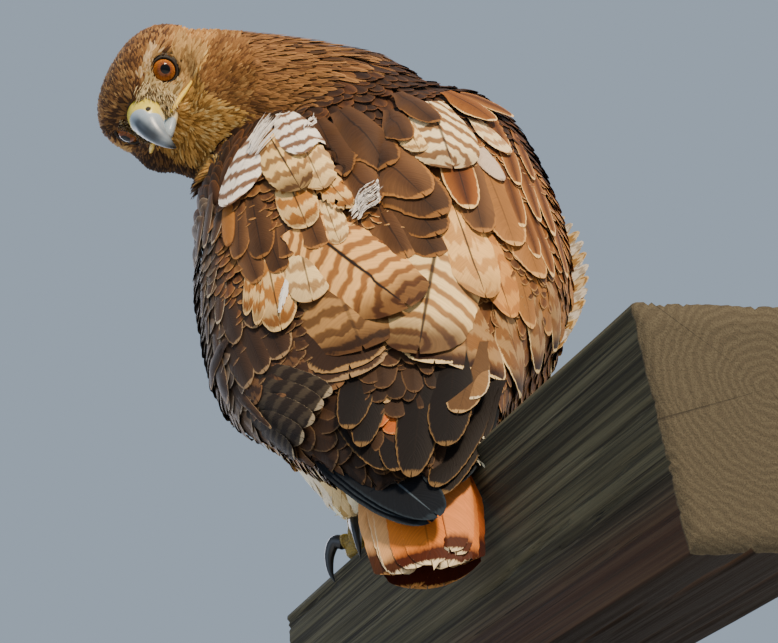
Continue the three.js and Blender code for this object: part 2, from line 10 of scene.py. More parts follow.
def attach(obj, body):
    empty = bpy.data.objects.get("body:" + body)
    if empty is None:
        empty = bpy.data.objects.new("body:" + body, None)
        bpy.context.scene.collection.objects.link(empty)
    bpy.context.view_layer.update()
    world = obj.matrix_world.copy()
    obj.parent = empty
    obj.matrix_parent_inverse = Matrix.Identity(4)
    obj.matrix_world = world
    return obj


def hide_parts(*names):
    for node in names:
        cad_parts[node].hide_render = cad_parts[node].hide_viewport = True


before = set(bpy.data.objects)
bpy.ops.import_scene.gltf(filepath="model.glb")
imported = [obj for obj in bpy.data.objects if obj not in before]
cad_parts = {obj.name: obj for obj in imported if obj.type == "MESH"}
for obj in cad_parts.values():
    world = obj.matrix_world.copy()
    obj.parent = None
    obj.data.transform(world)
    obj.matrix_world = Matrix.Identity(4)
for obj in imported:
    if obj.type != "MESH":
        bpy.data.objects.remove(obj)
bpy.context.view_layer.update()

# The view: from behind and below the bird, looking up at it with the camera leaning a little,
# through a short telephoto lens. Its place is in millimetres, as all sizes in this file are.
LOOK_UP = math.radians(24)
LEAN = math.radians(10)
LENS_PIXELS = 1816.5
FRAME_WIDE, FRAME_HIGH = 778, 643
view_ahead = np.array([0, -math.cos(LOOK_UP), math.sin(LOOK_UP)])
level_right = np.array([-1.0, 0, 0])
level_up = np.array([0, math.sin(LOOK_UP), math.cos(LOOK_UP)])
view_right = level_right * math.cos(LEAN) - level_up * math.sin(LEAN)
view_up = level_right * math.sin(LEAN) + level_up * math.cos(LEAN)
view_from = np.array([0, 0, 440.0]) - view_ahead * 1050

camera_data = bpy.data.cameras.new("camera")
camera_data.sensor_width = 36
camera_data.lens = LENS_PIXELS / FRAME_WIDE * camera_data.sensor_width
turned = Matrix([[view_right[i], view_up[i], -view_ahead[i]] for i in range(3)])


def put(name, data):
    """A new object in the scene."""
    item = bpy.data.objects.new(name, data)
    bpy.context.scene.collection.objects.link(item)
    return item


camera = put("camera", camera_data)
camera.matrix_world = Matrix.Translation(Vector(view_from) / 1000) @ turned.to_4x4()
bpy.context.scene.camera = camera


def sight(across, down):
    """The direction from the camera through a point of the picture."""
    ray = view_ahead + view_right * (across - FRAME_WIDE / 2) / LENS_PIXELS
    ray = ray - view_up * (down - FRAME_HIGH / 2) / LENS_PIXELS
    return ray / np.linalg.norm(ray)


# The studio: a pale painted floor, one warm soft light from the upper right behind the camera,
# cooler fill from the left and front, and an even pale surround.
def linear(code):
    """An sRGB hex colour as linear numbers with alpha."""
    parts = [int(code[i:i + 2], 16) / 255 for i in (1, 3, 5)]
    return tuple((v / 12.92 if v <= 0.04045 else ((v + 0.055) / 1.055) ** 2.4) for v in parts) + (1.0,)


def wire(node, inputs):
    """Links each input of a node to another node's output, or gives it a value."""
    for socket, value in inputs.items():
        if isinstance(value, bpy.types.NodeSocket):
            node.id_data.links.new(value, node.inputs[socket])
        else:
            node.inputs[socket].default_value = value


def add_node(tree, kind, inputs=(), **settings):
    """Adds a node with its settings and links, and gives back its outputs. The kind is the node's type,
    without ShaderNode if it is a shader's, and after a space the operation that it does."""
    kind, _, operation = kind.partition(" ")
    node = tree.nodes.new(kind if "Node" in kind else "ShaderNode" + kind)
    if operation:
        node.operation = operation
    for key, value in settings.items():
        setattr(node, key, value)
    wire(node, inputs if isinstance(inputs, dict) else dict(enumerate(inputs)))
    return node.outputs


def finish_of(name):
    """A new material, what adds a node to it, and its shader."""
    material = bpy.data.materials.new(name)
    material.use_nodes = True
    return material, partial(add_node, material.node_tree), material.node_tree.nodes["Principled BSDF"]


def place(name, points, faces, material):
    """A mesh object from points in millimetres."""
    mesh = bpy.data.meshes.new(name)
    mesh.from_pydata((np.asarray(points, float) / 1000).tolist(), [],
                     [tuple(int(i) for i in f) for f in faces])
    mesh.materials.append(material)
    mesh.polygons.foreach_set("use_smooth", [True] * len(mesh.polygons))
    return put(name, mesh)


floor_paint, add, shader = finish_of("floor_paint")
wire(shader, {"Base Color": linear("#c9ccd0"), "Roughness": 0.8})
floor = place("floor", [(-9000, -9000, 0), (9000, -9000, 0), (9000, 9000, 0), (-9000, 9000, 0)],
              [(0, 1, 2, 3)], floor_paint)

LIT_POINT = Vector((0, 0, 0.45))
for name, spot, size, power, colour in (
    ("key", (-1.25, 1.55, 2.35), 0.45, 135, "#ffe9cc"),
    ("fill_left", (2.2, 1.2, 0.9), 1.6, 9, "#dce8ff"),
    ("fill_front", (1.2, -2.4, 1.6), 1.8, 34, "#f4f4ff"),
    ("fill_right", (-2.4, -0.9, 1.0), 1.6, 14, "#f6f2ea"),
):
    lamp = bpy.data.lights.new(name, "AREA")
    lamp.size = size
    lamp.energy = power
    lamp.color = linear(colour)[:3]
    holder = put(name, lamp)
    holder.location = spot
    holder.rotation_euler = (LIT_POINT - Vector(spot)).to_track_quat("-Z", "Y").to_euler()
world = bpy.data.worlds.new("surround")
world.use_nodes = True
world.node_tree.nodes["Background"].inputs["Color"].default_value = linear("#c4d6ea")
world.node_tree.nodes["Background"].inputs["Strength"].default_value = 0.6
bpy.context.scene.world = world


# The skin: thin skin and down over the whole bird but for the bill, eyes and scaled legs, darkened as painted
# shade.
# It is one closed surface, the solids' flesh joined without seams and drawn in by the coat's depth.
FLESH = ["trunk", "neck", "head", "wing_left", "wing_right", "thigh_left", "thigh_right"]
HEAD_CENTRE = np.array([128.5, -40, 641.5])


def unit(v):
    """The direction of v, one long."""
    v = np.asarray(v, float)
    return v / np.linalg.norm(v)


HEAD_LEFT = unit([-0.64, 0.616, 0.459])
HEAD_UP = np.array([0.771, 0.51, 0.382])
HEAD_UP = unit(HEAD_UP - HEAD_LEFT * HEAD_UP.dot(HEAD_LEFT))
HEAD_AHEAD = -np.cross(HEAD_UP, HEAD_LEFT)
PITCH = math.radians(64)
AXIS = np.array([0, -math.cos(PITCH), math.sin(PITCH)])
DORSAL = np.array([0, math.sin(PITCH), math.cos(PITCH)])
BACK_POINT = np.array([0, 64, 416.0])


def in_head(p):
    """Left, ahead and up from the middle of the head."""
    d = np.asarray(p) - HEAD_CENTRE
    return d @ HEAD_LEFT, d @ HEAD_AHEAD, d @ HEAD_UP


def in_body(p):
    """Left, out from the line of the back, and up along it."""
    d = np.asarray(p) - BACK_POINT
    return d[..., 0], d @ DORSAL, d @ AXIS


def smooth_step(low, high, value):
    """0 below low and 1 above high, with a soft step between; the other way round if low is the larger."""
    t = np.clip((np.asarray(value, float) - low) / (high - low), 0, 1)
    return t * t * (3 - 2 * t)


def solids_of(names):
    """The named solids' points in metres, their faces, and the solid that each face came from."""
    points, faces, owners = [], [], []
    for node in names:
        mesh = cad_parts[node].data
        faces += [tuple(len(points) + i for i in f.vertices) for f in mesh.polygons]
        points += [v.co.copy() for v in mesh.vertices]
        owners += [node] * len(mesh.polygons)
    return points, faces, owners


def joined_copy(names, voxel, rounds):
    """The named solids as one closed surface: points in millimetres, faces and point normals."""
    points, faces, _ = solids_of(names)
    mesh = bpy.data.meshes.new("joined")
    mesh.from_pydata([tuple(p) for p in points], [], faces)
    item = put("joined", mesh)
    weld = item.modifiers.new("weld", "WELD")
    weld.merge_threshold = 0.00002
    remesh = item.modifiers.new("remesh", "REMESH")
    remesh.mode = "VOXEL"
    remesh.voxel_size = voxel / 1000
    soften = item.modifiers.new("soften", "SMOOTH")
    soften.factor = 0.5
    soften.iterations = rounds
    graph = bpy.context.evaluated_depsgraph_get()
    made = bpy.data.meshes.new_from_object(item.evaluated_get(graph))
    bpy.data.objects.remove(item)
    bpy.data.meshes.remove(mesh)
    points = np.empty(len(made.vertices) * 3)
    made.vertices.foreach_get("co", points)
    normals = np.empty(len(made.vertices) * 3)
    made.vertices.foreach_get("normal", normals)
    faces = [tuple(f.vertices) for f in made.polygons]
    bpy.data.meshes.remove(made)
    return points.reshape(-1, 3) * 1000, faces, normals.reshape(-1, 3)


form_points, form_faces, form_normals = joined_copy(FLESH, voxel=2.6, rounds=10)
form_tree = BVHTree.FromPolygons(form_points.tolist(), form_faces)
face_normals = np.array([unit(form_normals[list(f)].mean(0)) for f in form_faces])


def coat_depth(p):
    """How deep the coat is: thin on the face, thicker on the body."""
    left, ahead, up = in_head(p)
    away = np.sqrt(left ** 2 + ahead ** 2 + up ** 2)
    face = 1.3 + 2.4 * smooth_step(22, 62, away)
    return face + 3.4 * smooth_step(62, 120, away)


# where a wing is thin the skin keeps inside it
thickness = np.array([form_tree.ray_cast(Vector(p - n * 0.3), Vector(-n), 60)[3] or 60
                      for p, n in zip(form_points, form_normals)])
skin_depth = np.minimum(coat_depth(form_points), 0.36 * (thickness + 0.3))
skin_points = form_points - form_normals * skin_depth[:, None]
# Object coordinates are in metres, so a pattern's scale is its cells to the metre: 900 makes specks of 1.1 mm
skin_finish, add, shader = finish_of("bare_skin")
# the skin's colour is the coat's, darkened as painted shade between the feathers
shaded_skin_tones = add("Attribute", attribute_name="tone")["Color"]
where = add("TexCoord")["Object"]
fluff = add("TexNoise", {"Vector": where, "Scale": 900.0, "Detail": 3.0})[0]
shade = add("MapRange", [fluff, 0.3, 0.7, 0.75, 1.1])[0]
toned = add("Mix", {0: 1.0, 6: shaded_skin_tones, 7: shade}, data_type="RGBA", blend_type="MULTIPLY")[2]
wire(shader, {"Base Color": toned, "Roughness": 0.75})
skin = place("skin", skin_points, form_faces, skin_finish)
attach(skin, "root")
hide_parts(*FLESH)


# How every feather is made: a shaft with rows of barbs leaving it at a slant on both sides, closed to a
# vane whose edge is slightly uneven and here and there parted. The plan holds it in shaft lengths and
# half widths; a feather is the plan laid on the coat's form with its root sunk in and its tip standing off.
class Plan:
    """Rows and columns of points on each side of the shaft; where the vane is widest, how wide its root is
    and how blunt its end; how far its barbs lead forward; how ragged its edge is and how often it parts."""

    def __init__(self, rows, columns, widest, root_width, blunt, lead, ragged, splits, seed):
        chance = np.random.default_rng(seed)
        along, across, edge, quads = [], [], [], []
        for side in (1, -1):
            start = len(along)
            parted = set(chance.choice(np.arange(rows // 3, rows - 1), splits // 2,
                                       replace=False)) if splits > 1 else set()
            shift = np.zeros(rows + 1)
            for row in parted:
                for step in range(3):
                    shift[row - step] += 0.46 / rows * (1 - step / 3)
                    shift[min(row + 1 + step, rows)] -= 0.46 / rows * (1 - step / 3)
            for i in range(rows + 1):
                t = i / rows
                foot = 0.01 + 0.94 * t
                far = 1 - (1 - t) ** (1 + lead)
                rise = root_width + (1 - root_width) * smooth_step(0, widest, far)
                fall = 1 if far < widest else max(1 - ((far - widest) / (1 - widest)) ** blunt, 0) ** 0.5
                half = max(rise * fall, 0.03)
                grow = 1 + ragged * chance.uniform(-1, 0.6)
                for j in range(columns + 1):
                    f = j / columns
                    reach = 1 + (grow - 1) * f * f
                    along.append(foot + (far - foot) * f ** 1.35 * reach + shift[i] * max(f - 0.5, 0) * 2)
                    across.append(side * half * f * reach)
                    edge.append(side * f)
            for i in range(rows):
                for j in range(columns):
                    if i in parted and j >= columns * 0.5:
                        continue
                    a = start + i * (columns + 1) + j
                    b = a + columns + 1
                    quads.append((a, a + 1, b + 1, b) if side > 0 else (a, b, b + 1, a + 1))
        self.along = np.maximum(along, 0)
        self.across, self.edge = np.array(across), np.array(edge)
        self.quads = np.array(quads)


class Coat:
    """Feathers gathered for one piece: points, faces, the feather's own map and its colours."""

    def __init__(self):
        self.points, self.quads, self.vane, self.bake = [], [], [], []
        self.ground, self.marks, self.looks, self.fine, self.leans, self.ends = [], [], [], [], [], []
        self.count = 0

    def lay(self, plan, root, along, out, length, half, look, sink=-2.0, lift=2.0, arch=0.16, cling=1.0,
            patch=None, sway=0.0, tilt=0.0, on=None):
        """One feather, laid on the form from its root along the coat. Sink and lift are how far its root and
        its tip stand off the form, and cling is how closely it follows it."""
        side = np.cross(along, out)
        bend = sway * plan.along ** 2
        spots = (root + np.outer(plan.along * length, along)
                 + np.outer(plan.across * half + bend * half, side))
        past_root = np.minimum(plan.along * 3, 1)
        high = sink + (lift - sink) * plan.along ** 0.7 - arch * half * plan.across ** 2 * past_root
        high = high + tilt * plan.across * past_root
        tree, normals = on or (form_tree, face_normals)
        laid = np.empty_like(spots)
        for i, p in enumerate(spots):
            if cling > 0:
                near, _, face, _ = tree.find_nearest(p)
                held = np.array(near) + normals[face] * high[i]
                laid[i] = held if cling >= 1 else held * cling + (p + out * high[i]) * (1 - cling)
            else:
                laid[i] = p + out * high[i]
        base = self.count
        total = len(laid)
        self.points.append(laid)
        self.quads.append(plan.quads + base)
        self.count += total
        self.vane.append(np.stack([plan.edge * 0.5 + 0.5, plan.along], 1))
        if patch is None:
            u, v = unwrap(root)
            centre, size = np.array([u, v]), np.array([0.003, 0.003])
        else:
            centre, size = patch
        spread = np.stack([plan.across * 0.5, plan.along - 0.5], 1)
        self.bake.append(centre + spread * size)
        self.ground.append(np.tile([*look["ground"], look["sides"]], (total, 1)))
        self.ends.append(np.tile([look["end"], look["end_from"], look["rim"]], (total, 1)))
        self.marks.append(np.tile([*look["marks"], look["wide"]], (total, 1)))
        self.looks.append(np.tile([look["bars"], look["strong"], look["fringe"]], (total, 1)))
        self.fine.append(np.tile([look["shaft"], look["middle"], look["chance"]], (total, 1)))
        self.leans.append(np.tile([*look["lean"], look["wavy"]], (total, 1)))

    def finish(self, name, material, slot_name, replaced=()):
        """Makes the gathered feathers one finished piece."""
        points = np.concatenate(self.points) / 1000
        quads = np.concatenate(self.quads)
        mesh = bpy.data.meshes.new(name)
        mesh.vertices.add(len(points))
        mesh.vertices.foreach_set("co", points.ravel())
        mesh.loops.add(quads.size)
        mesh.loops.foreach_set("vertex_index", quads.ravel())
        mesh.polygons.add(len(quads))
        mesh.polygons.foreach_set("loop_start", np.arange(0, quads.size, 4))
        mesh.polygons.foreach_set("use_smooth", np.ones(len(quads), bool))
        mesh.update(calc_edges=True)
        for title, rows in (("OFBake", self.bake), ("Vane", self.vane)):
            layer = mesh.uv_layers.new(name=title)
            layer.data.foreach_set("uv", np.concatenate(rows)[quads.ravel()].ravel())
        for title, rows in (("ground", self.ground), ("marks", self.marks)):
            layer = mesh.attributes.new(title, "FLOAT_COLOR", "POINT")
            layer.data.foreach_set("color", np.concatenate(rows).ravel())
        for title, rows in (("bars", self.looks), ("fine", self.fine), ("lean", self.leans),
                            ("ends", self.ends)):
            layer = mesh.attributes.new(title, "FLOAT_VECTOR", "POINT")
            layer.data.foreach_set("vector", np.concatenate(rows).ravel())
        mesh.materials.append(material)
        item = put(name, mesh)
        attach(item, "root")
        if replaced:
            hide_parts(*replaced)


# The line of the bird from its tail up the body, through the neck and head to the bill. Feathers lie
# back along it, and the coat's map is unrolled round it.
SPINE = np.array([[0, 128, 250], [0, 84, 340], [0, 52, 400], [0, 12, 450], [0, -18, 500], [0, -52, 545],
                  [1, -78, 588], [8, -84, 614], [34, -86, 634], [66, -78, 645], [95, -62, 648],
                  [122, -45, 643], [145, -22, 626], [152, 8, 618]], float)
SPINE = np.array([SPINE[i] * (1 - t) + SPINE[i + 1] * t
                  for i in range(len(SPINE) - 1) for t in np.arange(0, 1, 0.2)] + [SPINE[-1]])
spine_way = np.gradient(SPINE, axis=0)
spine_way /= np.linalg.norm(spine_way, axis=1)[:, None]
spine_length = np.concatenate([[0], np.cumsum(np.linalg.norm(np.diff(SPINE, axis=0), axis=1))])
spine_out = np.empty_like(SPINE)
outward = DORSAL.copy()
for i, way in enumerate(spine_way):
    outward = unit(outward - way * outward.dot(way))
    spine_out[i] = outward


def near_spine(p):
    """Weights of the spine's points for a place on the coat."""
    away = np.linalg.norm(SPINE - p, axis=1)
    weight = np.exp(-(away - away.min()) / 7)
    return weight / weight.sum()


def lie(p, n):
    """The way feathers point at a place on the coat, towards the tail."""
    back = -(near_spine(p) @ spine_way)
    back = back - n * back.dot(n)
    size = np.linalg.norm(back)
    return back / size if size > 1e-6 else unit(np.cross(n, [1, 0, 0]))


def unwrap(p):
    """The place on the coat's map: round the spine, and along it."""
    weight = near_spine(p)
    along = weight @ spine_length / spine_length[-1]
    nearest = int(weight.argmax())
    way, up = spine_way[nearest], spine_out[nearest]
    left = np.cross(way, up)
    d = p - SPINE[nearest]
    turn = math.atan2(d @ left, d @ up)
    return 0.02 + 0.96 * (turn / (2 * math.pi) + 0.5), 0.02 + 0.96 * along


def scatter(points, faces, space, seed):
    """Places spread evenly over part of the form: points, normals and spacing. Space gives the spacing at
    each place, and 0 where no feathers grow."""
    chance = np.random.default_rng(seed)
    corners = np.array([[points[f[0]], points[f[1]], points[f[2]]] for f in faces]
                       + [[points[f[0]], points[f[2]], points[f[3]]] for f in faces if len(f) > 3])
    area = np.linalg.norm(np.cross(corners[:, 1] - corners[:, 0], corners[:, 2] - corners[:, 0]), axis=1) / 2
    middle = corners.mean(1)
    gap = space(middle)
    rate = np.where(gap > 0, area / np.maximum(gap, 0.5) ** 2, 0)
    total = int(rate.sum() * 7)
    pick = chance.choice(len(rate), total, p=rate / rate.sum())
    a, b = chance.random(total), chance.random(total)
    flip = a + b > 1
    a[flip], b[flip] = 1 - a[flip], 1 - b[flip]
    c = corners[pick]
    spots = c[:, 0] + (c[:, 1] - c[:, 0]) * a[:, None] + (c[:, 2] - c[:, 0]) * b[:, None]
    gaps = gap[pick]
    cell = gaps.max()
    grid, kept = {}, []
    for i in range(total):
        key = tuple((spots[i] // cell).astype(int))
        clash = False
        for dx in (-1, 0, 1):
            for dy in (-1, 0, 1):
                for dz in (-1, 0, 1):
                    for other in grid.get((key[0] + dx, key[1] + dy, key[2] + dz), ()):
                        d = spots[i] - spots[other]
                        if d @ d < (gaps[i] * 0.82) ** 2:
                            clash = True
                            break
        if not clash:
            grid.setdefault(key, []).append(i)
            kept.append(i)
    kept = np.array(kept)
    spots = spots[kept]
    return spots, face_normals[[form_tree.find_nearest(p)[2] for p in spots]], gaps[kept]


# Plumage: keratin vanes with a soft satin sheen. The colour is in the feather's own map: bars across it,
# a dark middle and shaft, a dark end and a pale fringe, with fine lines along the barbs.
SOFT_STEP = {"interpolation_type": "SMOOTHSTEP"}


def vane_finish(name, roughness, barbs, barb_depth):
    """The finish of all feathers of one kind: how rough they are, how many barbs show and how deeply."""
    material, add, shader = finish_of(name)
    ground = add("Attribute", attribute_name="ground")
    marks = add("Attribute", attribute_name="marks")
    bars, fine, lean, ends = (
        add("SeparateXYZ", [add("Attribute", attribute_name=title)["Vector"]])
        for title in ("bars", "fine", "lean", "ends"))
    place_on = add("SeparateXYZ", [add("UVMap", uv_map="Vane")[0]])
    across, along = place_on[0], place_on[1]

    signed = add("Math MULTIPLY_ADD", [across, 2.0, -1.0])[0]
    edge = add("Math ABSOLUTE", [signed])[0]
    chance = fine[2]

    # barb lines run outward and forward from the shaft
    slant = add("Math POWER", [edge, 1.35])[0]
    count = add("Math MULTIPLY", [add("Math MULTIPLY_ADD", [slant, -0.16, along])[0], barbs])[0]
    apart = add("Math MULTIPLY_ADD", [chance, 37.0, signed])[0]
    spot = add("CombineXYZ", [count, apart])[0]
    streaks = add("TexNoise", {"Vector": spot, "Scale": 1.0, "Detail": 2.0})[0]
    broad_spot = add("CombineXYZ", [along, apart])[0]
    broad = add("TexNoise", {"Vector": broad_spot, "Scale": 3.0, "Detail": 2.0})[0]

    # wavy bars, which lean forward by their own amount on each side of the shaft
    left = add("Math GREATER_THAN", [signed, 0.0])[0]
    slope = add("Mix", {0: left, 2: lean[1], 3: lean[0]})[0]
    turns = add("Math MULTIPLY_ADD", [along, bars[0], chance])[0]
    bowed = add("Math MULTIPLY_ADD", [edge, slope, turns])[0]
    waved = add("Math MULTIPLY_ADD", [broad, lean[2], bowed])[0]
    frayed = add("Math MULTIPLY_ADD", [streaks, 0.1, waved])[0]
    wave = add("Math SINE", [add("Math MULTIPLY", [frayed, 2 * math.pi])[0]])[0]
    level = add("Math ADD", [wave, add("Math MULTIPLY_ADD", [marks["Alpha"], 2.0, -1.0])[0]])[0]
    barred = add("Math MULTIPLY", [add("MapRange", [level, -0.5, 0.5], **SOFT_STEP)[0], bars[1]])[0]
    colour = add("Mix", {0: barred, 6: ground["Color"], 7: marks["Color"]}, data_type="RGBA")[2]

    # dark middle, dark end, pale fringe, dark shaft
    inner = add("Math MULTIPLY", [add("MapRange", [edge, 0.1, 0.95, 1.0, 0.0], **SOFT_STEP)[0], fine[1]])[0]
    colour = add("Mix", {0: inner, 6: colour, 7: linear("#5c4028")}, data_type="RGBA",
                 blend_type="MULTIPLY")[2]
    past = add("Math SUBTRACT", [add("Math MULTIPLY_ADD", [broad, 0.1, along])[0], ends[1]])[0]
    past = add("Math DIVIDE", [past, add("Math SUBTRACT", [1.03, ends[1]])[0]])[0]
    last = add("Math MULTIPLY", [add("MapRange", [past, 0.0, 0.8], **SOFT_STEP)[0], ends[0]],
               use_clamp=True)[0]
    colour = add("Mix", {0: last, 6: colour, 7: linear("#54402f")}, data_type="RGBA",
                 blend_type="MULTIPLY")[2]
    tip = add("Math MAXIMUM", [add("Math MULTIPLY", [edge, ground["Alpha"]])[0],
                               add("MapRange", [along, 0.78, 0.985], **SOFT_STEP)[0]])[0]
    inset = add("Math SUBTRACT", [1.07, ends[2]])[0]
    uneven = add("Math MULTIPLY_ADD", [streaks, 0.14, tip])[0]
    rim = add("MapRange", [add("Math SUBTRACT", [uneven, inset])[0], -0.07, 0.02], **SOFT_STEP)[0]
    rim = add("Math MULTIPLY", [rim, add("MapRange", [along, 0.25, 0.7], **SOFT_STEP)[0]])[0]
    colour = add("Mix", {0: add("Math MULTIPLY", [rim, bars[2]])[0], 6: colour, 7: marks["Color"]},
                 data_type="RGBA")[2]
    shaft = add("MapRange", [edge, 0.015, 0.06, 1.0, 0.0], **SOFT_STEP)[0]
    shaft = add("Math MINIMUM", [add("Math MULTIPLY", [shaft, fine[0]])[0], 1.0])[0]
    pale = add("Math SUBTRACT", [fine[0], 1.0], use_clamp=True)[0]
    shaft_tone = add("Mix", {0: pale, 6: linear("#1e130c"), 7: marks["Color"]}, data_type="RGBA")[2]
    colour = add("Mix", {0: shaft, 6: colour, 7: shaft_tone}, data_type="RGBA")[2]
    light = add("MapRange", [streaks, 0.25, 0.75, 0.84, 1.14])[0]
    colour = add("Mix", {0: 1.0, 6: colour, 7: light}, data_type="RGBA", blend_type="MULTIPLY")[2]
    wire(shader, {"Base Color": colour,
                  "Normal": add("Bump", {"Strength": barb_depth, "Distance": 0.0004, "Height": streaks})[0],
                  "Roughness": roughness, "Specular IOR Level": 0.12, "Sheen Weight": 0.05})
    return material


def tone(code, shade=1.0):
    """A colour made lighter or darker."""
    return tuple(min(v * shade, 1.0) for v in linear(code)[:3])


def look_of(ground, marks="#e2c79c", shade=1.0, bars=0.0, strong=0.0, wide=0.5, fringe=0.0, shaft=0.0,
            middle=0.0, end=0.0, chance=0.0, lean=(0.38, 0.38), wavy=1.2, end_from=0.7, rim=0.06, sides=1.0):
    """How a feather looks: its ground colour and the colour of its bars, fringe and shaft, then how much of
    each it has. Chance shifts its bars and streaks."""
    return {"ground": tone(ground, shade), "marks": tone(marks, shade), "bars": bars, "strong": strong,
            "wide": wide, "fringe": fringe, "shaft": shaft, "middle": middle, "end": end, "chance": chance,
            "lean": lean, "wavy": wavy, "end_from": end_from, "rim": rim, "sides": sides}


soft_feather = vane_finish("small_feathers", 0.65, 14.0, 0.3)
body_feather = vane_finish("body_feathers", 0.6, 30.0, 0.35)

# which solid each face of the form came from
points, faces, owners = solids_of(FLESH)
flesh_tree = BVHTree.FromPolygons([tuple(p * 1000) for p in points], faces)
face_middles = np.array([form_points[list(f)].mean(0) for f in form_faces])
face_zone = np.array([owners[flesh_tree.find_nearest(p)[2]] for p in face_middles])


def faces_where(chosen):
    """The form's faces that are chosen."""
    return [form_faces[i] for i in np.nonzero(chosen)[0]]


# Head plumage: thousands of short narrow feathers, longest on the nape. Crown and cheek are brown with
# tan edges, the brow and lores pale, the throat golden buff; none grow on the cere, the lids or the gape.
def head_point(left, ahead, up):
    """A place given from the middle of the head."""
    return HEAD_CENTRE + HEAD_LEFT * left + HEAD_AHEAD * ahead + HEAD_UP * up


EYE_AT = np.array([20.6, 0.8, 0.3])
EYE_LOOK = unit([0.62, 0.78, 0.05])
tuft = Plan(5, 1, 0.35, 0.5, 1.3, 0.6, 0.12, 0, 3)
dice = np.random.default_rng(11)


def head_gap(p):
    """The spacing of the head's feathers: closest on the face, none inside the ring of the lids."""
    left, ahead, up = in_head(p)
    away = np.sqrt((left * 0.9) ** 2 + ahead ** 2 + (up + 8) ** 2)
    gap = np.where((ahead > 4) | (up < -12), 1.5, np.where(ahead > -20, 1.8, 2.2))
    inside = (away < 60) & (ahead > -46)
    for side in (1, -1):
        lid = EYE_AT * [side, 1, 1] + EYE_LOOK * [side, 1, 1] * 7.5
        from_lid = np.sqrt((left - lid[0]) ** 2 + (ahead - lid[1]) ** 2 + (up - lid[2]) ** 2)
        inside &= from_lid > 9.6
    return np.where(inside, gap, 0)


def patchy(p, size, seed):
    """A smooth value from -1 to 1 that changes over a few sizes."""
    x, y, z = np.asarray(p) / size + seed
    return (math.sin(x * 1.7 + 1.3 * math.sin(y * 1.1)) + math.sin(y * 1.9 + 1.2 * math.sin(z * 1.3))
            + math.sin(z * 1.6 + 1.4 * math.sin(x * 1.2))) / 3


def head_look(p, chance):
    """Colours for a feather of the head."""
    left, ahead, up = in_head(p)
    # feathers on the far side of the head are painted dark brown: painted shade
    shaded_far_side = left < (3 if up > -14 else -15)
    pick, jog = chance.random(), chance.uniform(0.84, 1.16) * (1 + 0.2 * patchy(p, 5.0, 2.0))
    # under the chin they darken towards the far side: painted shade
    if up < -14:
        jog *= 1 - 0.4 * float(smooth_step(2, -16, left))
    left = abs(left)
    if shaded_far_side and (ahead > 2 or up < -8) and up < 16:
        return look_of("#3d2714" if pick < 0.6 else "#6f4d28", shade=jog)
    if ahead > 15 and -12 < up < (10 if ahead < 26 else 6):
        return look_of("#b9a170" if pick < 0.7 else "#80683f", shade=jog)
    if 2 < ahead < 20 and 9 < up < 15 and left > 13 and not shaded_far_side:
        return look_of("#c9ab7e" if pick < 0.6 else "#ab8652", shade=jog)
    if up > 10 or (ahead < 4 and up > 4):
        dark = chance.random() < 0.4 + 0.25 * patchy(p, 3.0, 5.0)
        return look_of("#573820" if dark else "#8d6236" if pick < 0.6 else "#b0844e", "#b98a55", shade=jog,
                       fringe=0.3, middle=0.3)
    if math.hypot(ahead - 8, up) < 17:
        return look_of("#b38c54" if pick < 0.7 else "#8f6b3c", shade=jog)
    if up < -18 and ahead < 21 and left - (up + 30) * 0.5 > 25:
        return look_of("#8a5f32" if pick < 0.6 else "#6a4524" if pick < 0.8 else "#a87d48", shade=jog,
                       middle=0.2)
    if up < -22 or (ahead > 4 and up < -14):
        return look_of("#cb9a50" if pick < 0.6 else "#93692f" if pick < 0.85 else "#e2bd76", shade=jog)
    return look_of("#a87a42" if pick < 0.55 else "#86592c" if pick < 0.75 else "#c59a5e", shade=jog,
                   middle=0.2)


coat = Coat()
near_head = np.linalg.norm(face_middles - HEAD_CENTRE, axis=1) < 68
spots, outs, gaps = scatter(form_points, faces_where(near_head), head_gap, 21)
for spot, out, gap in zip(spots, outs, gaps):
    left, ahead, up = in_head(spot)
    chin = float(smooth_step(-8, -26, up) * smooth_step(4, -22, left) * smooth_step(-14, 0, ahead))
    length = 5.6 + 6.5 * float(smooth_step(22, -30, ahead)) + 5.0 * chin
    way = lie(spot, out)
    back = -HEAD_AHEAD - HEAD_UP * 0.15
    back = unit(back - out * back.dot(out))
    mix = float(smooth_step(-38, -10, ahead))
    # on the chin and throat they fan out from under the bill
    fan = float(smooth_step(-20, 2, ahead) * smooth_step(-2, -13, up))
    apart = spot - head_point(0, 44, -6)
    apart = unit(apart - out * apart.dot(out))
    way = unit((way * (1 - mix) + back * mix) * (1 - fan) + apart * fan + np.cross(out, way)
               * dice.uniform(-0.14, 0.14))
    # feathers ahead of an eye part round its lids
    lid = head_point((EYE_AT[0] + EYE_LOOK[0] * 7.5) * (1 if left > 0 else -1), EYE_AT[1] + EYE_LOOK[1] * 7.5,
                     EYE_AT[2] + EYE_LOOK[2] * 7.5)
    clear = spot + way * length * 0.9 - lid
    clear = clear - out * clear.dot(out)
    if np.linalg.norm(clear) < 10.2:
        away = spot - lid
        way = unit(way + unit(away - out * away.dot(out)) * 0.8)
        length = min(length, 3.6)
    # behind the left cheek they stand off a little
    cheek = float(smooth_step(36, 42, left) * smooth_step(-34, -12, ahead) * smooth_step(12, -2, up))
    coat.lay(tuft, spot, way, out, length * dice.uniform(0.8, 1.25), 0.6 + 0.055 * length,
             head_look(spot, dice), sink=-1.1, lift=dice.uniform(0.3, 1.0) + 7.0 * chin + 2.2 * cheek)
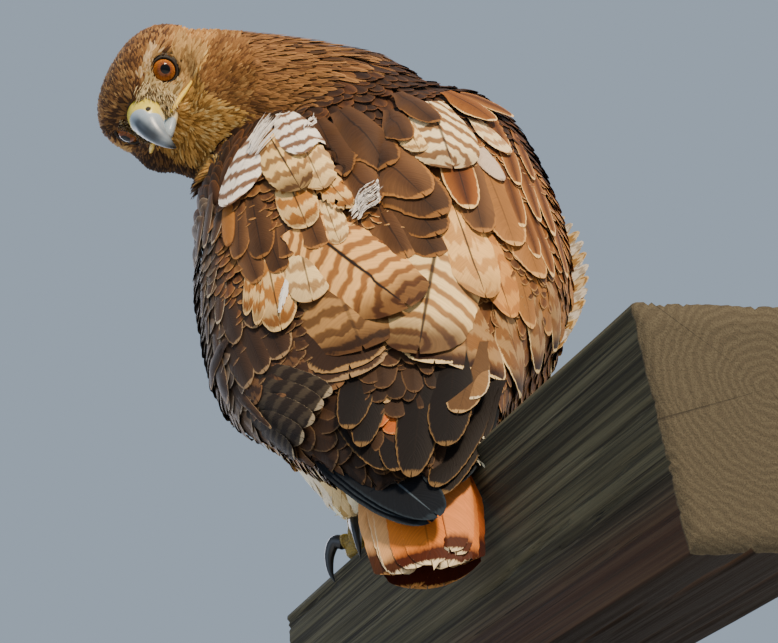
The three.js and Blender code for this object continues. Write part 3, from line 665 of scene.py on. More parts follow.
# fine bristles of the lores lean forward over the sides of the cere
bristle = Plan(3, 1, 0.3, 0.6, 1.2, 0.3, 0.0, 0, 4)
for _ in range(1500):
    side = dice.choice((1, -1))
    base = head_point(side * dice.uniform(7, 20), dice.uniform(19, 30), dice.uniform(-13, 11))
    near, _, face, _ = form_tree.find_nearest(base)
    out = face_normals[face]
    left, ahead, up = in_head(near)
    if ahead < 12 or (abs(left) < 9 and up > 4):
        continue
    droop = dice.uniform(0.1, 0.6)
    way = HEAD_AHEAD + HEAD_LEFT * side * -0.15 - HEAD_UP * droop * (1 if up < 6 else -0.4)
    way = unit(way - out * out.dot(way) * 0.8)
    coat.lay(bristle, np.array(near), way, out, dice.uniform(4.0, 7.5), 0.22,
             look_of("#cdb98a" if dice.random() < 0.65 else "#5d4526"), sink=0.2, lift=dice.uniform(1.5, 3.6),
             cling=0.0)
coat.finish("plumage_head", soft_feather, "plumage_head")


# Neck and mantle: dark brown feathers with rufous edges, short on the nape and longer towards the back,
# each over the next like tiles.
short_vane = Plan(7, 2, 0.36, 0.4, 1.4, 0.5, 0.06, 0, 5)
back_vane = Plan(10, 2, 0.45, 0.4, 2.0, 0.4, 0.05, 0, 6)


def neck_gap(p):
    """The spacing of the neck's feathers, wider towards the back."""
    left, ahead, up = in_head(p)
    away = np.sqrt((left * 0.9) ** 2 + ahead ** 2 + (up + 8) ** 2)
    gap = 3.1 + 2.6 * smooth_step(60, 130, away)
    return np.where((away > 52) & (in_body(p)[2] < 400), gap, 0)


def neck_look(p, chance):
    """Colours for a feather of the neck: tan towards the head, dark towards the mantle, pale in front."""
    pick, jog = chance.random(), chance.uniform(0.85, 1.15) * (1 + 0.2 * patchy(p, 14.0, 1.0))
    away = np.linalg.norm(np.asarray(p) - HEAD_CENTRE)
    if in_body(p)[1] < -112:
        return look_of("#b8935a" if pick < 0.5 else "#8a6434", "#7a4a20", shade=jog, middle=0.35)
    if chance.random() < float(smooth_step(190, 80, away)):
        return look_of("#94683a" if pick < 0.6 else "#6f4a27", "#b98b52", shade=jog, fringe=0.2, middle=0.5)
    return look_of("#51371f" if pick < 0.7 else "#6b4b2b", "#8a6238", shade=jog, fringe=0.25, middle=0.6)


coat = Coat()
zone = (face_zone == "neck") | (face_zone == "head")
spots, outs, gaps = scatter(form_points, faces_where(zone), neck_gap, 31)
for spot, out, gap in zip(spots, outs, gaps):
    way = lie(spot, out)
    way = unit(way + np.cross(out, way) * dice.uniform(-0.12, 0.12))
    length = 4.6 * gap * dice.uniform(0.85, 1.2)
    coat.lay(short_vane, spot, way, out, length, 0.56 * gap, neck_look(spot, dice), sink=-2.0,
             lift=dice.uniform(0.6, 1.6))
coat.finish("plumage_neck", soft_feather, "plumage_back")


def flow(p, n):
    """The way feathers point on the back, wings, belly and thighs."""
    x, _, s = in_body(p)
    way = lie(p, n)
    side = 1 if x > 0 else -1
    inward = float(smooth_step(80, -60, s)) * (0.75 if x > 0 else 0.35) * float(smooth_step(8, 50, abs(x)))
    way = way + np.array([-side, 0, 0]) * inward
    way = way - n * way.dot(n)
    return unit(way)


def body_look(p, chance):
    """Colours for a small feather anywhere on the body."""
    x, q, s = in_body(p)
    pick, jog = chance.random(), chance.uniform(0.86, 1.14) * (1 + 0.18 * patchy(p, 16.0, 3.0))
    angle = math.degrees(math.atan2(abs(x) / 105, (q + 58) / 62))
    if -20 > s and abs(x) < 44 and q > -34 and not (-78 < s < -62 and 2 < x < 13):
        return look_of("#2b1d12" if pick < 0.7 else "#3d2a1a", "#7d5c38", shade=jog, fringe=0.4, middle=0.3,
                       chance=pick)
    if s < -58 and abs(x) < 34 and q > -34:
        return look_of("#b25a20" if pick < 0.6 else "#8a3f14", "#dca266", shade=jog, fringe=0.4)
    if angle > 116 or (s < -60 and q < -40):
        band = float(smooth_step(-40, 10, s) * smooth_step(110, 60, s))
        if chance.random() < band * 0.75:
            return look_of("#5a3114" if pick < 0.5 else "#7d481b", "#dcb97e", shade=jog, bars=2.0, strong=0.7,
                           fringe=0.8, middle=0.4, chance=pick)
        return look_of("#e6d3af" if pick < 0.7 else "#dcc493", "#8d511d", shade=jog ** 0.6, middle=0.15)
    if s > 185 - 0.25 * abs(x) or (abs(x) < 34 and s > 120):
        return look_of("#3d2716" if pick < 0.7 else "#56351b", "#855427", shade=jog, fringe=0.35, middle=0.6,
                       chance=pick)
    if x > 0:
        # the outer coverts of the left wing are the brown greyed and dulled: painted shade
        if angle > 58 and x > 80:
            return look_of("#6c5946" if pick < 0.6 else "#524030", "#beac91", shade=jog, fringe=0.45,
                           middle=0.5, chance=pick)
        if s < 45:
            deep = 1.0 if s > -30 else 0.55
            return look_of("#4c321d" if pick < 0.7 else "#66462a", "#a18056", shade=jog * deep, fringe=0.5,
                           middle=0.45, chance=pick)
        return look_of("#724824" if pick < 0.6 else "#8f602e", "#cd9958", shade=jog, fringe=0.45, middle=0.55,
                       chance=pick)
    if s > 60:
        return look_of("#885525" if pick < 0.6 else "#a36a30", "#e0b679", shade=jog, fringe=0.6, middle=0.5,
                       chance=pick)
    return look_of("#714822" if pick < 0.6 else "#5a391b", "#c0955c", shade=jog, fringe=0.5, middle=0.45,
                   chance=pick)


# the skin shows the coat's own colours, darkened as painted shade between the feathers
shaded_skin_tones = np.empty((len(form_points), 4))
for i, p in enumerate(form_points):
    away = np.linalg.norm(p - HEAD_CENTRE)
    if away < 56:
        look = head_look(p, dice)
    elif p[2] > 590 and away < 110:
        look = neck_look(p, dice)
    else:
        look = body_look(p, dice)
    shaded_skin_tones[i] = [*((0.85 if away < 62 else 0.6) * v for v in look["ground"]), 1]
layer = skin.data.attributes.new("tone", "FLOAT_COLOR", "POINT")
layer.data.foreach_set("color", shaded_skin_tones.ravel())


def body_tract(name, faces, space, seed, plan, long, wide, lift, slot_name, cling=1.0, look=body_look,
               aim=flow):
    """One piece of the coat: feathers scattered over some faces, long and wide as parts of their spacing."""
    chance = np.random.default_rng(seed)
    coat = Coat()
    spots, outs, gaps = scatter(form_points, faces, space, seed)
    for spot, out, gap in zip(spots, outs, gaps):
        way = aim(spot, out)
        way = unit(way + np.cross(out, way) * chance.uniform(-0.14, 0.14))
        coat.lay(plan, spot - way * gap * long * 0.35, way, out, gap * long * chance.uniform(0.88, 1.15),
                 gap * wide * chance.uniform(0.9, 1.1), look(spot, chance), sink=-3.0,
                 lift=chance.uniform(0.75, 1.25) * lift, cling=cling, tilt=chance.uniform(-0.5, 0.5))
    coat.finish(name, body_feather, slot_name)


# Trunk, wing and flank feathers: the small soft ones that cover the whole body like tiles, in lines down
# to the tail, and that the large feathers lie on.
core = BACK_POINT - DORSAL * 58 + np.outer((face_middles - BACK_POINT) @ AXIS, AXIS)
outward_faces = np.einsum("ij,ij->i", face_normals, face_middles - core) > 0
x_all, q_all, s_all = in_body(face_middles)
trunk_zone = (face_zone == "trunk") & ~((s_all < -98) & (q_all > -50))
under_wing = ((face_zone == "thigh_left") | (face_zone == "thigh_right")) & (q_all > -50) & (s_all > -126)
left_zone = (face_zone == "wing_left") | (under_wing & (x_all > 0))
right_zone = (face_zone == "wing_right") | (under_wing & (x_all < 0))
thigh_zone = ((face_zone == "thigh_left") | (face_zone == "thigh_right")) & ~under_wing


def wing_gap(p):
    """The spacing of the wings' small feathers, wider towards the tail."""
    x, _, s = in_body(p)
    return np.where(x < 0, 6.3, 7.0) + 2.5 * smooth_step(60, -40, s)


rump = trunk_zone & (q_all > -40) & (s_all < -18) & (s_all > -80)
body_tract("plumage_trunk", faces_where(trunk_zone & outward_faces & ~((q_all > -40) & (s_all < -18))),
           lambda p: np.full(len(p), 7.0), 41, back_vane, 3.6, 0.85, 2.2, "plumage_back")
body_tract("plumage_rump", faces_where(rump), lambda p: np.full(len(p), 6.0), 45, back_vane, 3.4, 0.85, 0.3,
           "plumage_back")
body_tract("plumage_wing_left", faces_where(left_zone), wing_gap, 42, back_vane, 3.7, 0.86, 2.2,
           "plumage_back")
body_tract("plumage_wing_right", faces_where(right_zone), wing_gap, 43, back_vane, 4.2, 0.72, 2.0,
           "plumage_back")


# Scapulars and the large wing feathers: broad vanes with strong shafts, barred brown on cream, dark towards
# the tip and thinly edged with pale buff. They are laid one over the other from the wing up to the back.
def seen_at(across, down, level=None):
    """The place on the form that the picture shows there, or on a plane level with the back."""
    ray = sight(across, down)
    spot, _, face, _ = form_tree.ray_cast(Vector(view_from), Vector(ray))
    if spot is not None and level is None:
        return np.array(spot), face_normals[face]
    reach = ((BACK_POINT + DORSAL * (level or 0.0) - view_from) @ DORSAL) / (ray @ DORSAL)
    return view_from + ray * reach, DORSAL


broad_plans = [Plan(34, 6, 0.5, 0.45, 2.6, 0.3, 0.03, 0, seed) for seed in (61, 62, 63, 64)]
slim_plans = [Plan(24, 4, 0.45, 0.45, 2.3, 0.3, 0.03, 0, seed) for seed in (71, 72, 73)]
loose_plans = [Plan(26, 4, 0.5, 0.5, 1.8, 0.5, 0.22, 7, seed) for seed in (81, 82, 83)]
large_feather = vane_finish("large_feathers", 0.55, 70.0, 0.4)


class Sheet:
    """Places side by side on a large feather piece's own map."""

    def __init__(self, columns):
        self.columns, self.used = columns, 0

    def next(self):
        cell = 1 / self.columns
        spot = np.array([self.used % self.columns + 0.5, self.used // self.columns + 0.5]) * cell
        self.used += 1
        assert self.used <= self.columns ** 2
        return spot, np.array([cell * 0.46, cell * 0.92])


# at the middle of the back a pixel of the picture is this many millimetres
MM_A_PIXEL = 0.578


def plume(coat, sheet, root, tip, half, look, high=3.0, low=-1.5, plans=broad_plans, tilt=0.0, cling=0.85,
          sway=0.0, arch=0.14, level=None):
    """One large feather between two points of the picture, half as wide as half pixels; level holds its root
    and tip off the form, that far out from the back."""
    a, root_out = seen_at(*root) if level is None else seen_at(*root, level[0])
    b, tip_out = seen_at(*tip) if level is None else seen_at(*tip, level[1])
    if level is not None:
        cling = 0.0
    out = unit(root_out + tip_out)
    along = unit(b - a)
    out = unit(out - along * out.dot(along))
    plan = plans[sheet.used % len(plans)]
    look = dict(look, chance=look["chance"] or dice.uniform(0, 1))
    coat.lay(plan, a, along, out, np.linalg.norm(b - a), half * MM_A_PIXEL, look, sink=low, lift=high,
             arch=arch, cling=cling, patch=sheet.next(), sway=sway, tilt=tilt)


dusky = look_of("#3a271b", "#7e5936", bars=7, strong=0.55, wide=0.45, fringe=0.85, shaft=0.6, middle=0.2,
                lean=(0.5, -0.5))
dusky_plain = look_of("#412d1e", "#9b7d57", fringe=0.9, shaft=0.6, middle=0.5)
slate_edge = look_of("#543d2b", "#c6b292", fringe=0.9, shaft=0.5, middle=0.5)
brown_tan = look_of("#76512f", "#ca8b44", fringe=0.45, shaft=0.7, middle=0.6, end=0.3)
dark_scapular = look_of("#573a20", "#bd803d", fringe=0.4, shaft=0.8, middle=0.5, end=0.35)
tan_scapular = look_of("#ab702f", "#f1cb87", bars=3.5, strong=0.75, wide=0.5, fringe=0.6, shaft=0.8, end=0.55)
cream = look_of("#f3d192", "#8d5b27", bars=3.5, strong=0.7, wide=0.35, shaft=0.7, end=0.3)
white_barred = look_of("#f8efdf", "#6e4829", bars=4.6, strong=0.95, wide=0.36, shaft=0.2, lean=(0.2, 0.4),
                       wavy=0.8)
great_barred = look_of("#eab36a", "#7d4718", bars=8.5, strong=0.85, wide=0.38, shaft=1.0, end=0.9,
                       lean=(-1.6, 0.3), wavy=0.9, chance=0.3)
tertial = look_of("#150e09", "#8d6c3f", fringe=0.6, shaft=0.4, middle=0.3, rim=0.025)
down = look_of("#f2ebe1", "#d5c9ba", bars=1.0, strong=0.4)

left_scapulars, left_sheet = Coat(), Sheet(9)


def left(*row, **settings):
    """Lays the next feather of the left wing."""
    plume(left_scapulars, left_sheet, *row, **settings)


# secondaries of the left wing, their white-edged ends one below the other
for row in (((262, 430), (301, 453), 10), ((247, 414), (310, 440), 12), ((238, 397), (319, 425), 13),
            ((236, 380), (327, 411), 13), ((244, 368), (335, 399), 13)):
    left(*row, look_of("#241a12", "#a89676", bars=6, strong=0.09, wide=0.35, fringe=0.9, shaft=0.5,
                       middle=0.1, lean=(0.15, -0.15), wavy=0.5, rim=0.07, sides=0.9), high=4.2, low=0.5,
         tilt=-0.8)
left((224, 376), (235, 427), 7, dusky_plain, high=3.0, plans=slim_plans)
left((250, 426), (272, 446), 8, dusky_plain, high=1.5, plans=slim_plans)
# greater coverts, then the scale-like middle coverts
for row in (((232, 330), (262, 404), 15), ((244, 318), (290, 398), 17), ((262, 312), (316, 402), 19),
            ((285, 308), (340, 392), 22)):
    left(*row, dusky, high=2.8, low=-0.5)
for row in (((198, 322), (216, 388), 10), ((208, 330), (234, 402), 12), ((222, 318), (254, 388), 15),
            ((236, 306), (269, 375), 15), ((252, 292), (286, 361), 19), ((222, 290), (242, 345), 13),
            ((236, 268), (262, 330), 15)):
    left(*row, dusky_plain, high=3.2, low=0.0)
for row in (((205, 196), (200, 262), 7), ((212, 188), (208, 250), 8), ((218, 236), (212, 300), 8),
            ((207, 250), (206, 318), 7), ((222, 262), (222, 326), 9), ((213, 300), (222, 362), 8),
            ((224, 196), (216, 246), 8), ((206, 280), (212, 345), 6)):
    left(*row, slate_edge, high=2.6, low=0.0, plans=slim_plans)
# lower layers under the great scapulars
left((330, 285), (352, 383), 46, dusky_plain, high=3.6, low=0.5)
left((328, 272), (352, 375), 47, look_of("#342214", "#a27d4d", fringe=0.9, shaft=0.5, middle=0.3), high=4.2,
     low=1.0)
left((326, 262), (366, 357), 50, look_of("#a67c48", "#553719", bars=5.5, strong=0.85, wide=0.5, shaft=0.4,
                                         end=0.9, lean=(0.1, 0.3), chance=0.6, fringe=0.6, rim=0.03),
     high=5.2, low=1.5)
# brown and tan feathers over the middle of the left wing
for row in (((228, 196), (233, 250), 9, look_of("#a36a2d", "#58371c", fringe=0.6, middle=0.2)),
            ((240, 205), (243, 262), 14, brown_tan), ((252, 196), (266, 262), 17, dark_scapular),
            ((238, 222), (262, 286), 15, brown_tan), ((262, 218), (284, 276), 18, dark_scapular),
            ((285, 212), (290, 262), 16, brown_tan)):
    left(*row, high=3.8, low=0.5)
left((256, 246), (251, 320), 9, tan_scapular, high=4.2, low=1.0, plans=slim_plans)
left((266, 250), (262, 330), 10, tan_scapular, high=4.6, low=1.0, plans=slim_plans)
left((264, 240), (286, 336), 22, tan_scapular, high=5.0, low=1.0)
left((296, 226), (316, 308), 24, cream, high=5.4, low=1.0, tilt=0.5)
left((290, 276), (284, 320), 4, down, high=6.0, low=2.0, plans=loose_plans)
left((300, 196), (322, 254), 20, brown_tan, high=5.0, low=1.0)
left((324, 200), (342, 250), 14, cream, high=5.2, low=1.0)
# the great barred scapular on top
left((300, 226), (412, 318), 53, great_barred, high=8.0, low=2.5, cling=0.75, arch=0.2, sway=0.02)
# the upper scapulars
left((345, 150), (408, 262), 30, brown_tan, high=3.0, low=0.0)
left((392, 190), (438, 262), 26, dark_scapular, high=4.2, low=0.5)
left((385, 178), (438, 242), 30, dark_scapular, high=5.0, low=1.0)
left((352, 140), (442, 224), 34, dark_scapular, high=6.2, low=1.5)
left((346, 132), (426, 206), 32, brown_tan, high=7.0, low=2.0)
left((330, 138), (378, 212), 26, brown_tan, high=5.6, low=1.5)
left((316, 168), (352, 216), 17, tan_scapular, high=5.2, low=1.0, plans=loose_plans)
left((284, 170), (310, 234), 21, tan_scapular, high=5.2, low=1.5)
left((300, 138), (326, 196), 20, cream, high=5.6, low=1.5)
left((318, 122), (350, 184), 22, dark_scapular, high=6.0, low=2.0)
left((340, 112), (392, 174), 26, dark_scapular, high=6.4, low=2.0)
left((268, 134), (304, 198), 25, look_of("#f1cb84", "#744417", bars=4.5, strong=0.8, wide=0.38, shaft=0.9,
                                         end=0.8, chance=0.2), high=6.6, low=2.0)
left((262, 132), (234, 212), 27, white_barred, high=6.0, low=1.5)
left((284, 116), (308, 162), 20, white_barred, high=6.8, low=2.0)
left_scapulars.finish("scapulars_left", large_feather, "flight_feathers")

right_scapulars, right_sheet = Coat(), Sheet(9)


def right(*row, **settings):
    """Lays the next feather of the right wing."""
    plume(right_scapulars, right_sheet, *row, **settings)


warm_covert = look_of("#95602e", "#ebc381", fringe=0.95, shaft=0.5, middle=0.75)
soft_covert = look_of("#9c6933", "#d8a663", fringe=0.8, shaft=0.4, middle=0.2)
great_pale = look_of("#f6d391", "#86521f", bars=9.0, strong=0.85, wide=0.34, shaft=0.9, end=0.95,
                     lean=(0.2, -1.5), wavy=0.6, chance=0.15)
end_covert = look_of("#7e5429", "#eccc8f", bars=3.0, strong=0.2, fringe=0.9, shaft=0.4, end=1.0)

# greater coverts and the dark-ended row above the tertials
for row in (((500, 310), (512, 396), 24), ((470, 318), (490, 384), 24), ((462, 300), (466, 377), 32),
            ((436, 296), (434, 370), 34), ((530, 296), (530, 372), 18), ((546, 282), (548, 350), 12)):
    right(*row, end_covert, high=4.6, low=1.0)
for row in (((530, 236), (556, 345), 9), ((546, 226), (566, 322), 7), ((520, 250), (544, 336), 14),
            ((504, 236), (526, 330), 17)):
    right(*row, soft_covert, high=3.2, low=0.0)
for row in (((500, 160), (520, 232), 11), ((514, 152), (536, 226), 9), ((526, 160), (550, 240), 8),
            ((510, 190), (534, 262), 12), ((538, 196), (562, 280), 7), ((524, 200), (548, 280), 9),
            ((498, 128), (516, 190), 10), ((510, 128), (530, 184), 8), ((486, 110), (506, 160), 10)):
    right(*row, warm_covert, high=3.6, low=0.5, plans=slim_plans)
right((494, 190), (536, 282), 22, soft_covert, high=4.0, low=0.5)
right((478, 226), (506, 322), 20, look_of("#cd8f47", "#955720", bars=4.0, strong=0.6, wide=0.45, fringe=0.0,
                                          shaft=0.8), high=4.6, low=1.0)
# the great pale barred scapular, and those over it
right((444, 214), (412, 362), 50, great_pale, high=6.0, low=1.5, tilt=-1.0, sway=-0.12)
right((452, 206), (482, 306), 26, look_of("#f0bc71", "#a6661f", bars=3.0, strong=0.6, wide=0.4, shaft=0.9,
                                          end=0.4, chance=0.4), high=6.6, low=2.0)
right((484, 168), (512, 252), 22, soft_covert, high=5.0, low=1.0)
right((462, 150), (482, 240), 20, brown_tan, high=5.4, low=1.0)
right((446, 136), (468, 218), 18, look_of("#8d511b", "#efc580", fringe=0.95, shaft=0.8, middle=0.8), high=6.6,
      low=2.0)
right((470, 140), (500, 186), 12, look_of("#cbb59c", "#74563a", fringe=0.4), high=4.0, low=0.5)
right((428, 104), (452, 178), 38, look_of("#f8dfac", "#77491b", bars=5.5, strong=0.9, wide=0.42, shaft=0.8,
                                          end=0.5, lean=(0.2, -1.7), chance=0.1), high=6.8, low=2.0)
right((404, 122), (420, 160), 16, cream, high=6.0, low=2.0)
right((446, 86), (490, 130), 19, look_of("#8a531d", "#f5cf8d", fringe=0.95, shaft=0.8, middle=0.4), high=6.8,
      low=2.0)
right((462, 84), (508, 124), 13, warm_covert, high=6.2, low=2.0)
right((470, 118), (506, 160), 14, look_of("#efd4a1", "#925823", bars=3.0, strong=0.7, wide=0.4), high=5.0,
      low=1.0)
right((388, 112), (406, 150), 15, dark_scapular, high=6.8, low=2.0)
right((396, 96), (436, 132), 16, dark_scapular, high=7.0, low=2.5)
right_scapulars.finish("scapulars_right", large_feather, "flight_feathers")

# tertials and inner secondaries, whose dark blades close over the base of the tail
tertials, tertial_sheet = Coat(), Sheet(6)
for root, tip, half, look, level in (
    ((500, 378), (440, 496), 15, tertial, (-12, -3)),
    ((492, 384), (434, 488), 16, tertial, (-10, -1)),
    ((330, 380), (392, 470), 20, tertial, (-6, 0)),
    ((391, 402), (396, 472), 14, tertial, (-5, 2.4)),
    ((456, 340), (446, 447), 20, tertial, (-3, 4)),
    ((480, 340), (458, 414), 18, look_of("#5c4125", "#b99765", fringe=0.8, shaft=0.3, rim=0.04), (-7, 3)),
    ((470, 344), (474, 400), 16, look_of("#83603a", "#ead3a8", fringe=0.9, shaft=0.3, rim=0.04), (-7, 1)),
    ((430, 330), (411, 478), 20, tertial, (-2.5, 3)),
    ((384, 330), (361, 448), 16, tertial, (-3.5, 2)),
    ((370, 330), (348, 430), 17, tertial, (-3.5, 2.5)),
    ((394, 352), (386, 404), 8, look_of("#b08a55", "#c9a878", fringe=0.4, shaft=0.2), (-4, 0)),
):
    plume(tertials, tertial_sheet, root, tip, half, look, high=0.5, low=-0.5, level=level, arch=0.1)
tertials.finish("tertials", large_feather, "flight_feathers")


# Loose feathers: white down that has worked out between the scapulars, barred flank feathers that stand off
# past the right wing, and a pale tuft beside the root of the tail.
wisp_plans = [Plan(14, 1, 0.35, 0.5, 1.1, 0.7, 0.3, 3, seed) for seed in (111, 112, 113)]
loose_feathers, loose_sheet = Coat(), Sheet(12)
soft_plans = [Plan(16, 3, 0.6, 0.6, 1.9, 0.5, 0.1, 0, seed) for seed in (121, 122)]
for count, roots, tips, half, look, levels in (
    (34, ((350, 214), (360, 228)), ((366, 190), (388, 208)), 0.55, down, None),
    (40, ((252, 146), (264, 162)), ((268, 122), (290, 138)), 0.8, down, None),
    (6, ((306, 132), (310, 136)), ((308, 124), (318, 132)), 0.8, down, None),
    (12, ((466, 422), (474, 446)), ((474, 440), (488, 468)), 2.0, look_of("#e9dcb8", shaft=0.2), (-14, -8)),
):
    for k in range(count):
        along_row = (k + dice.uniform(0, 1)) / count
        slip = dice.uniform(0, 1)
        root = (roots[0][0] + (roots[1][0] - roots[0][0]) * slip,
                roots[0][1] + (roots[1][1] - roots[0][1]) * along_row)
        tip = (tips[0][0] + (tips[1][0] - tips[0][0]) * slip,
               tips[0][1] + (tips[1][1] - tips[0][1]) * along_row + dice.uniform(-3, 3))
        plume(loose_feathers, loose_sheet, root, tip, half, look,
              high=8.0 if levels is None else dice.uniform(-2, 2), low=5.5 if levels is None else 0.0,
              plans=wisp_plans, level=levels, arch=0.2, sway=dice.uniform(-0.1, 0.1) / max(half, 1))
for k, tip in enumerate(((564, 216), (572, 223), (579, 231), (583, 241), (586, 252), (588, 264), (588, 276),
                         (587, 288), (585, 299), (581, 309), (576, 319), (570, 329))):
    for part in range(2):
        pale = (k + part) % 2
        plume(loose_feathers, loose_sheet, (tip[0] - 34, tip[1] + 27 + 5 * part),
              (tip[0] - 3 * part, tip[1] + 6 * part), 6.5,
              look_of("#b9b2a2" if pale else "#84622f", "#66522f" if pale else "#cdb98c", bars=2.5,
                      strong=0.6, wide=0.45, fringe=0.5 * (1 - pale), chance=0.1 * k), high=0.0, low=0.0,
              plans=soft_plans, level=(-66 - part, -63 - part), arch=0.1)
loose_feathers.finish("loose_feathers", soft_feather, "flight_feathers")


# Primaries: the longest wing feathers, stiff blackish blades of keratin with a blue cast that is painted
# sheen, three to a wing. They lie one over the other, and their tips show below each folded wing, over the
# root of the tail.
def body_point(x, q, s):
    """A place given from the line of the back: left, out and up along it."""
    return BACK_POINT + np.array([x, 0, 0]) + DORSAL * q + AXIS * s


# the blades' blue cast is painted sheen on blackish keratin
primary = look_of("#0b0f15", "#6f8796", fringe=0.08, shaft=1.3, rim=0.03, lean=(0.5, 0.5))
blade_plans = [Plan(40, 4, 0.35, 0.55, 2.8, 0.25, 0.01, 1, seed) for seed in (91, 92)]
primaries, primary_sheet = Coat(), Sheet(4)
for side, root, tip, half in ((1, (46, -22, -58), (-2, 0.5, -158), 19),
                              (-1, (-42, -24, -40), (-14, -4.2, -132), 17)):
    for step, (shift, short, rise) in enumerate(((-1, 0, -1.6), (-3, 4, -0.6), (-5, 0, 0.6))):
        a, b = body_point(*root), body_point(*tip)
        along = unit(b - a)
        out = unit(DORSAL - along * DORSAL.dot(along))
        across = np.cross(along, out)
        a = a + across * shift * side - along * 6
        b = b + across * shift * 0.5 * side - along * (short - step)
        primaries.lay(blade_plans[step % 2], a, along, out, np.linalg.norm(b - a), half * 0.92, primary,
                      sink=rise, lift=rise + 0.8, arch=0.06, cling=0.0, patch=primary_sheet.next())
primaries.finish("primaries", large_feather, "flight_feathers", ["primaries_left", "primaries_right"])


# Tail: twelve stiff brick-red feathers with a dark band near the end and a cream tip. The upper ones lie
# arched over each other; the outer ones curl in beneath and leave the fold's end open.
points, faces, _ = solids_of(["tail"])
points = [np.array(p) * 1000 for p in points]
tail_tree = BVHTree.FromPolygons([tuple(p) for p in points], faces)
tail_normals = [unit(np.cross(points[b] - points[a], points[c] - points[a])) for a, b, c in faces]
tail_on = tail_tree, np.array(tail_normals)
rectrix_plans = [Plan(46, 5, 0.5, 0.6, 4.5, 0.18, 0.03, 0, seed) for seed in (101, 102, 103)]
rufous = look_of("#dc7f33", "#f3dcae", fringe=1.0, shaft=0.35, end=1.7, end_from=0.85, rim=0.012, sides=0.93,
                 lean=(0.3, 0.3))
tail_coat, tail_sheet = Coat(), Sheet(6)
TAIL_ROOT, TAIL_END = -96, -172


def tail_spot(x, s, below=False):
    """The place on the tail's solid straight under, or over, a point of the line of the back."""
    start = body_point(x, -70 if below else 70, s)
    ray = DORSAL if below else -DORSAL
    spot = tail_tree.ray_cast(Vector(start), Vector(ray))[0]
    if spot is None:
        spot = tail_tree.find_nearest(body_point(x, -16 if below else 8, s))[0]
    return np.array(spot)


def rectrix(x_root, x_tip, s_tip, half, look, rise, below=False):
    """One tail feather from its root to its tip, which may stand past the tail's solid end."""
    a = tail_spot(x_root, TAIL_ROOT, below)
    b = tail_spot(x_tip, max(s_tip, TAIL_END), below)
    along = unit(b - a)
    b = b + along * max(TAIL_END - s_tip, 0)
    out = -DORSAL if below else DORSAL
    out = unit(out - along * along.dot(out))
    tail_coat.lay(rectrix_plans[tail_sheet.used % 3], a, along, out, np.linalg.norm(b - a), half, look,
                  sink=rise, lift=rise + 0.6, arch=0.0, cling=0.9, patch=tail_sheet.next(), on=tail_on)


for k in (-2.5, 2.5, -1.5, 1.5, 0.5, -0.5):
    rectrix(k * 8, k * 8.0, -178.5 + 0.9 * k + 0.5 * k * k, 13.0,
            dict(rufous, ground=tone("#c2601f" if k < 2 else "#dfa468"), marks=tone("#d99a55"), end_from=0.7),
            0.2, below=True)
for k, rise in ((3, 0.2), (-3, 0.2), (2, 0.6), (-2, 0.6), (1, 1.0), (-1, 1.0), (0, 1.4)):
    rectrix(k * 6.4, k * 7.2, -177 + 0.5 * k, 11.5,
            dict(rufous, sides=1.0, ground=tone("#dfa468")) if k > 1 else rufous, rise)
for x_root, x_tip, s_tip, half, rise in ((-20, -19, -171, 10, 1.6), (-8, -9, -170, 12.5, 2.2)):
    rectrix(x_root, x_tip, s_tip, half, dict(rufous, ground=tone("#e08a48"), fringe=0.8), rise)
# short rufous coverts lie over the roots of the tail
for k in range(-3, 4):
    a, b = tail_spot(k * 6.5, -98), tail_spot(k * 7.0, -124)
    way = unit(b - a)
    tail_coat.lay(rectrix_plans[k % 3], a - way * 34 - DORSAL * 7, way, DORSAL, 58, 9.5,
                  look_of("#a8561f" if k < -1 else "#2c1b10", "#8a5a30", fringe=0.6, shaft=0.3, middle=0.4),
                  sink=0.0, lift=5.5, cling=0.0, patch=tail_sheet.next())
tail_coat.finish("tail_feathers", large_feather, "tail_feathers", ["tail"])


# Bill: hollow horn over bone, hooked over the lower half. A soft waxy yellow cere with the nostrils covers
# its root, then the horn is blue-grey, darkening to slate along the ridge and to black at the tip.
def eased(rows, parts):
    """Rows of numbers with smooth steps between them."""
    rows = np.asarray(rows, float)
    out = []
    for i in range(len(rows) - 1):
        before, a, b, after = rows[max(i - 1, 0)], rows[i], rows[i + 1], rows[min(i + 2, len(rows) - 1)]
        for t in np.arange(parts) / parts:
            out.append(0.5 * (2 * a + (b - before) * t + (2 * before - 5 * a + 4 * b - after) * t * t
                              + (3 * a - 3 * b + after - before) * t ** 3))
    return np.array(out + [rows[-1]])


def tube_faces(rows, around):
    """Faces of a tube of points in rows, closed by one more point at each end."""
    faces = []
    for i in range(rows - 1):
        for j in range(around):
            k = (j + 1) % around
            faces.append((i * around + j, i * around + k, (i + 1) * around + k, (i + 1) * around + j))
    total, last = rows * around, (rows - 1) * around
    faces += [(total, (j + 1) % around, j) for j in range(around)]
    faces += [(total + 1, last + j, last + (j + 1) % around) for j in range(around)]
    return faces


UPPER_BILL = [[24, -1, 12.4, 12.2, 0], [29.5, -1, 11.6, 12, 5], [35, -1.8, 10.2, 11.2, 13],
              [40.5, -3.6, 8.7, 9.9, 25], [45.3, -6.8, 7.1, 8.3, 40], [49, -10.8, 5.5, 6.4, 56],
              [51.6, -15.2, 3.9, 4.5, 70], [53.2, -19.2, 2.1, 2.5, 80], [53.6, -22.2, 0.5, 0.6, 84]]
LOWER_BILL = [[20, -15.6, 11.4, 4.8, 0], [28, -15.3, 10.2, 4.6, 0], [35.5, -15.4, 8.0, 4.2, 0],
              [41.5, -15.6, 5.4, 3.4, 2], [44.6, -15.7, 2.3, 1.9, 0]]
NOSTRIL = np.array([8.4, 38.0, 2.4])


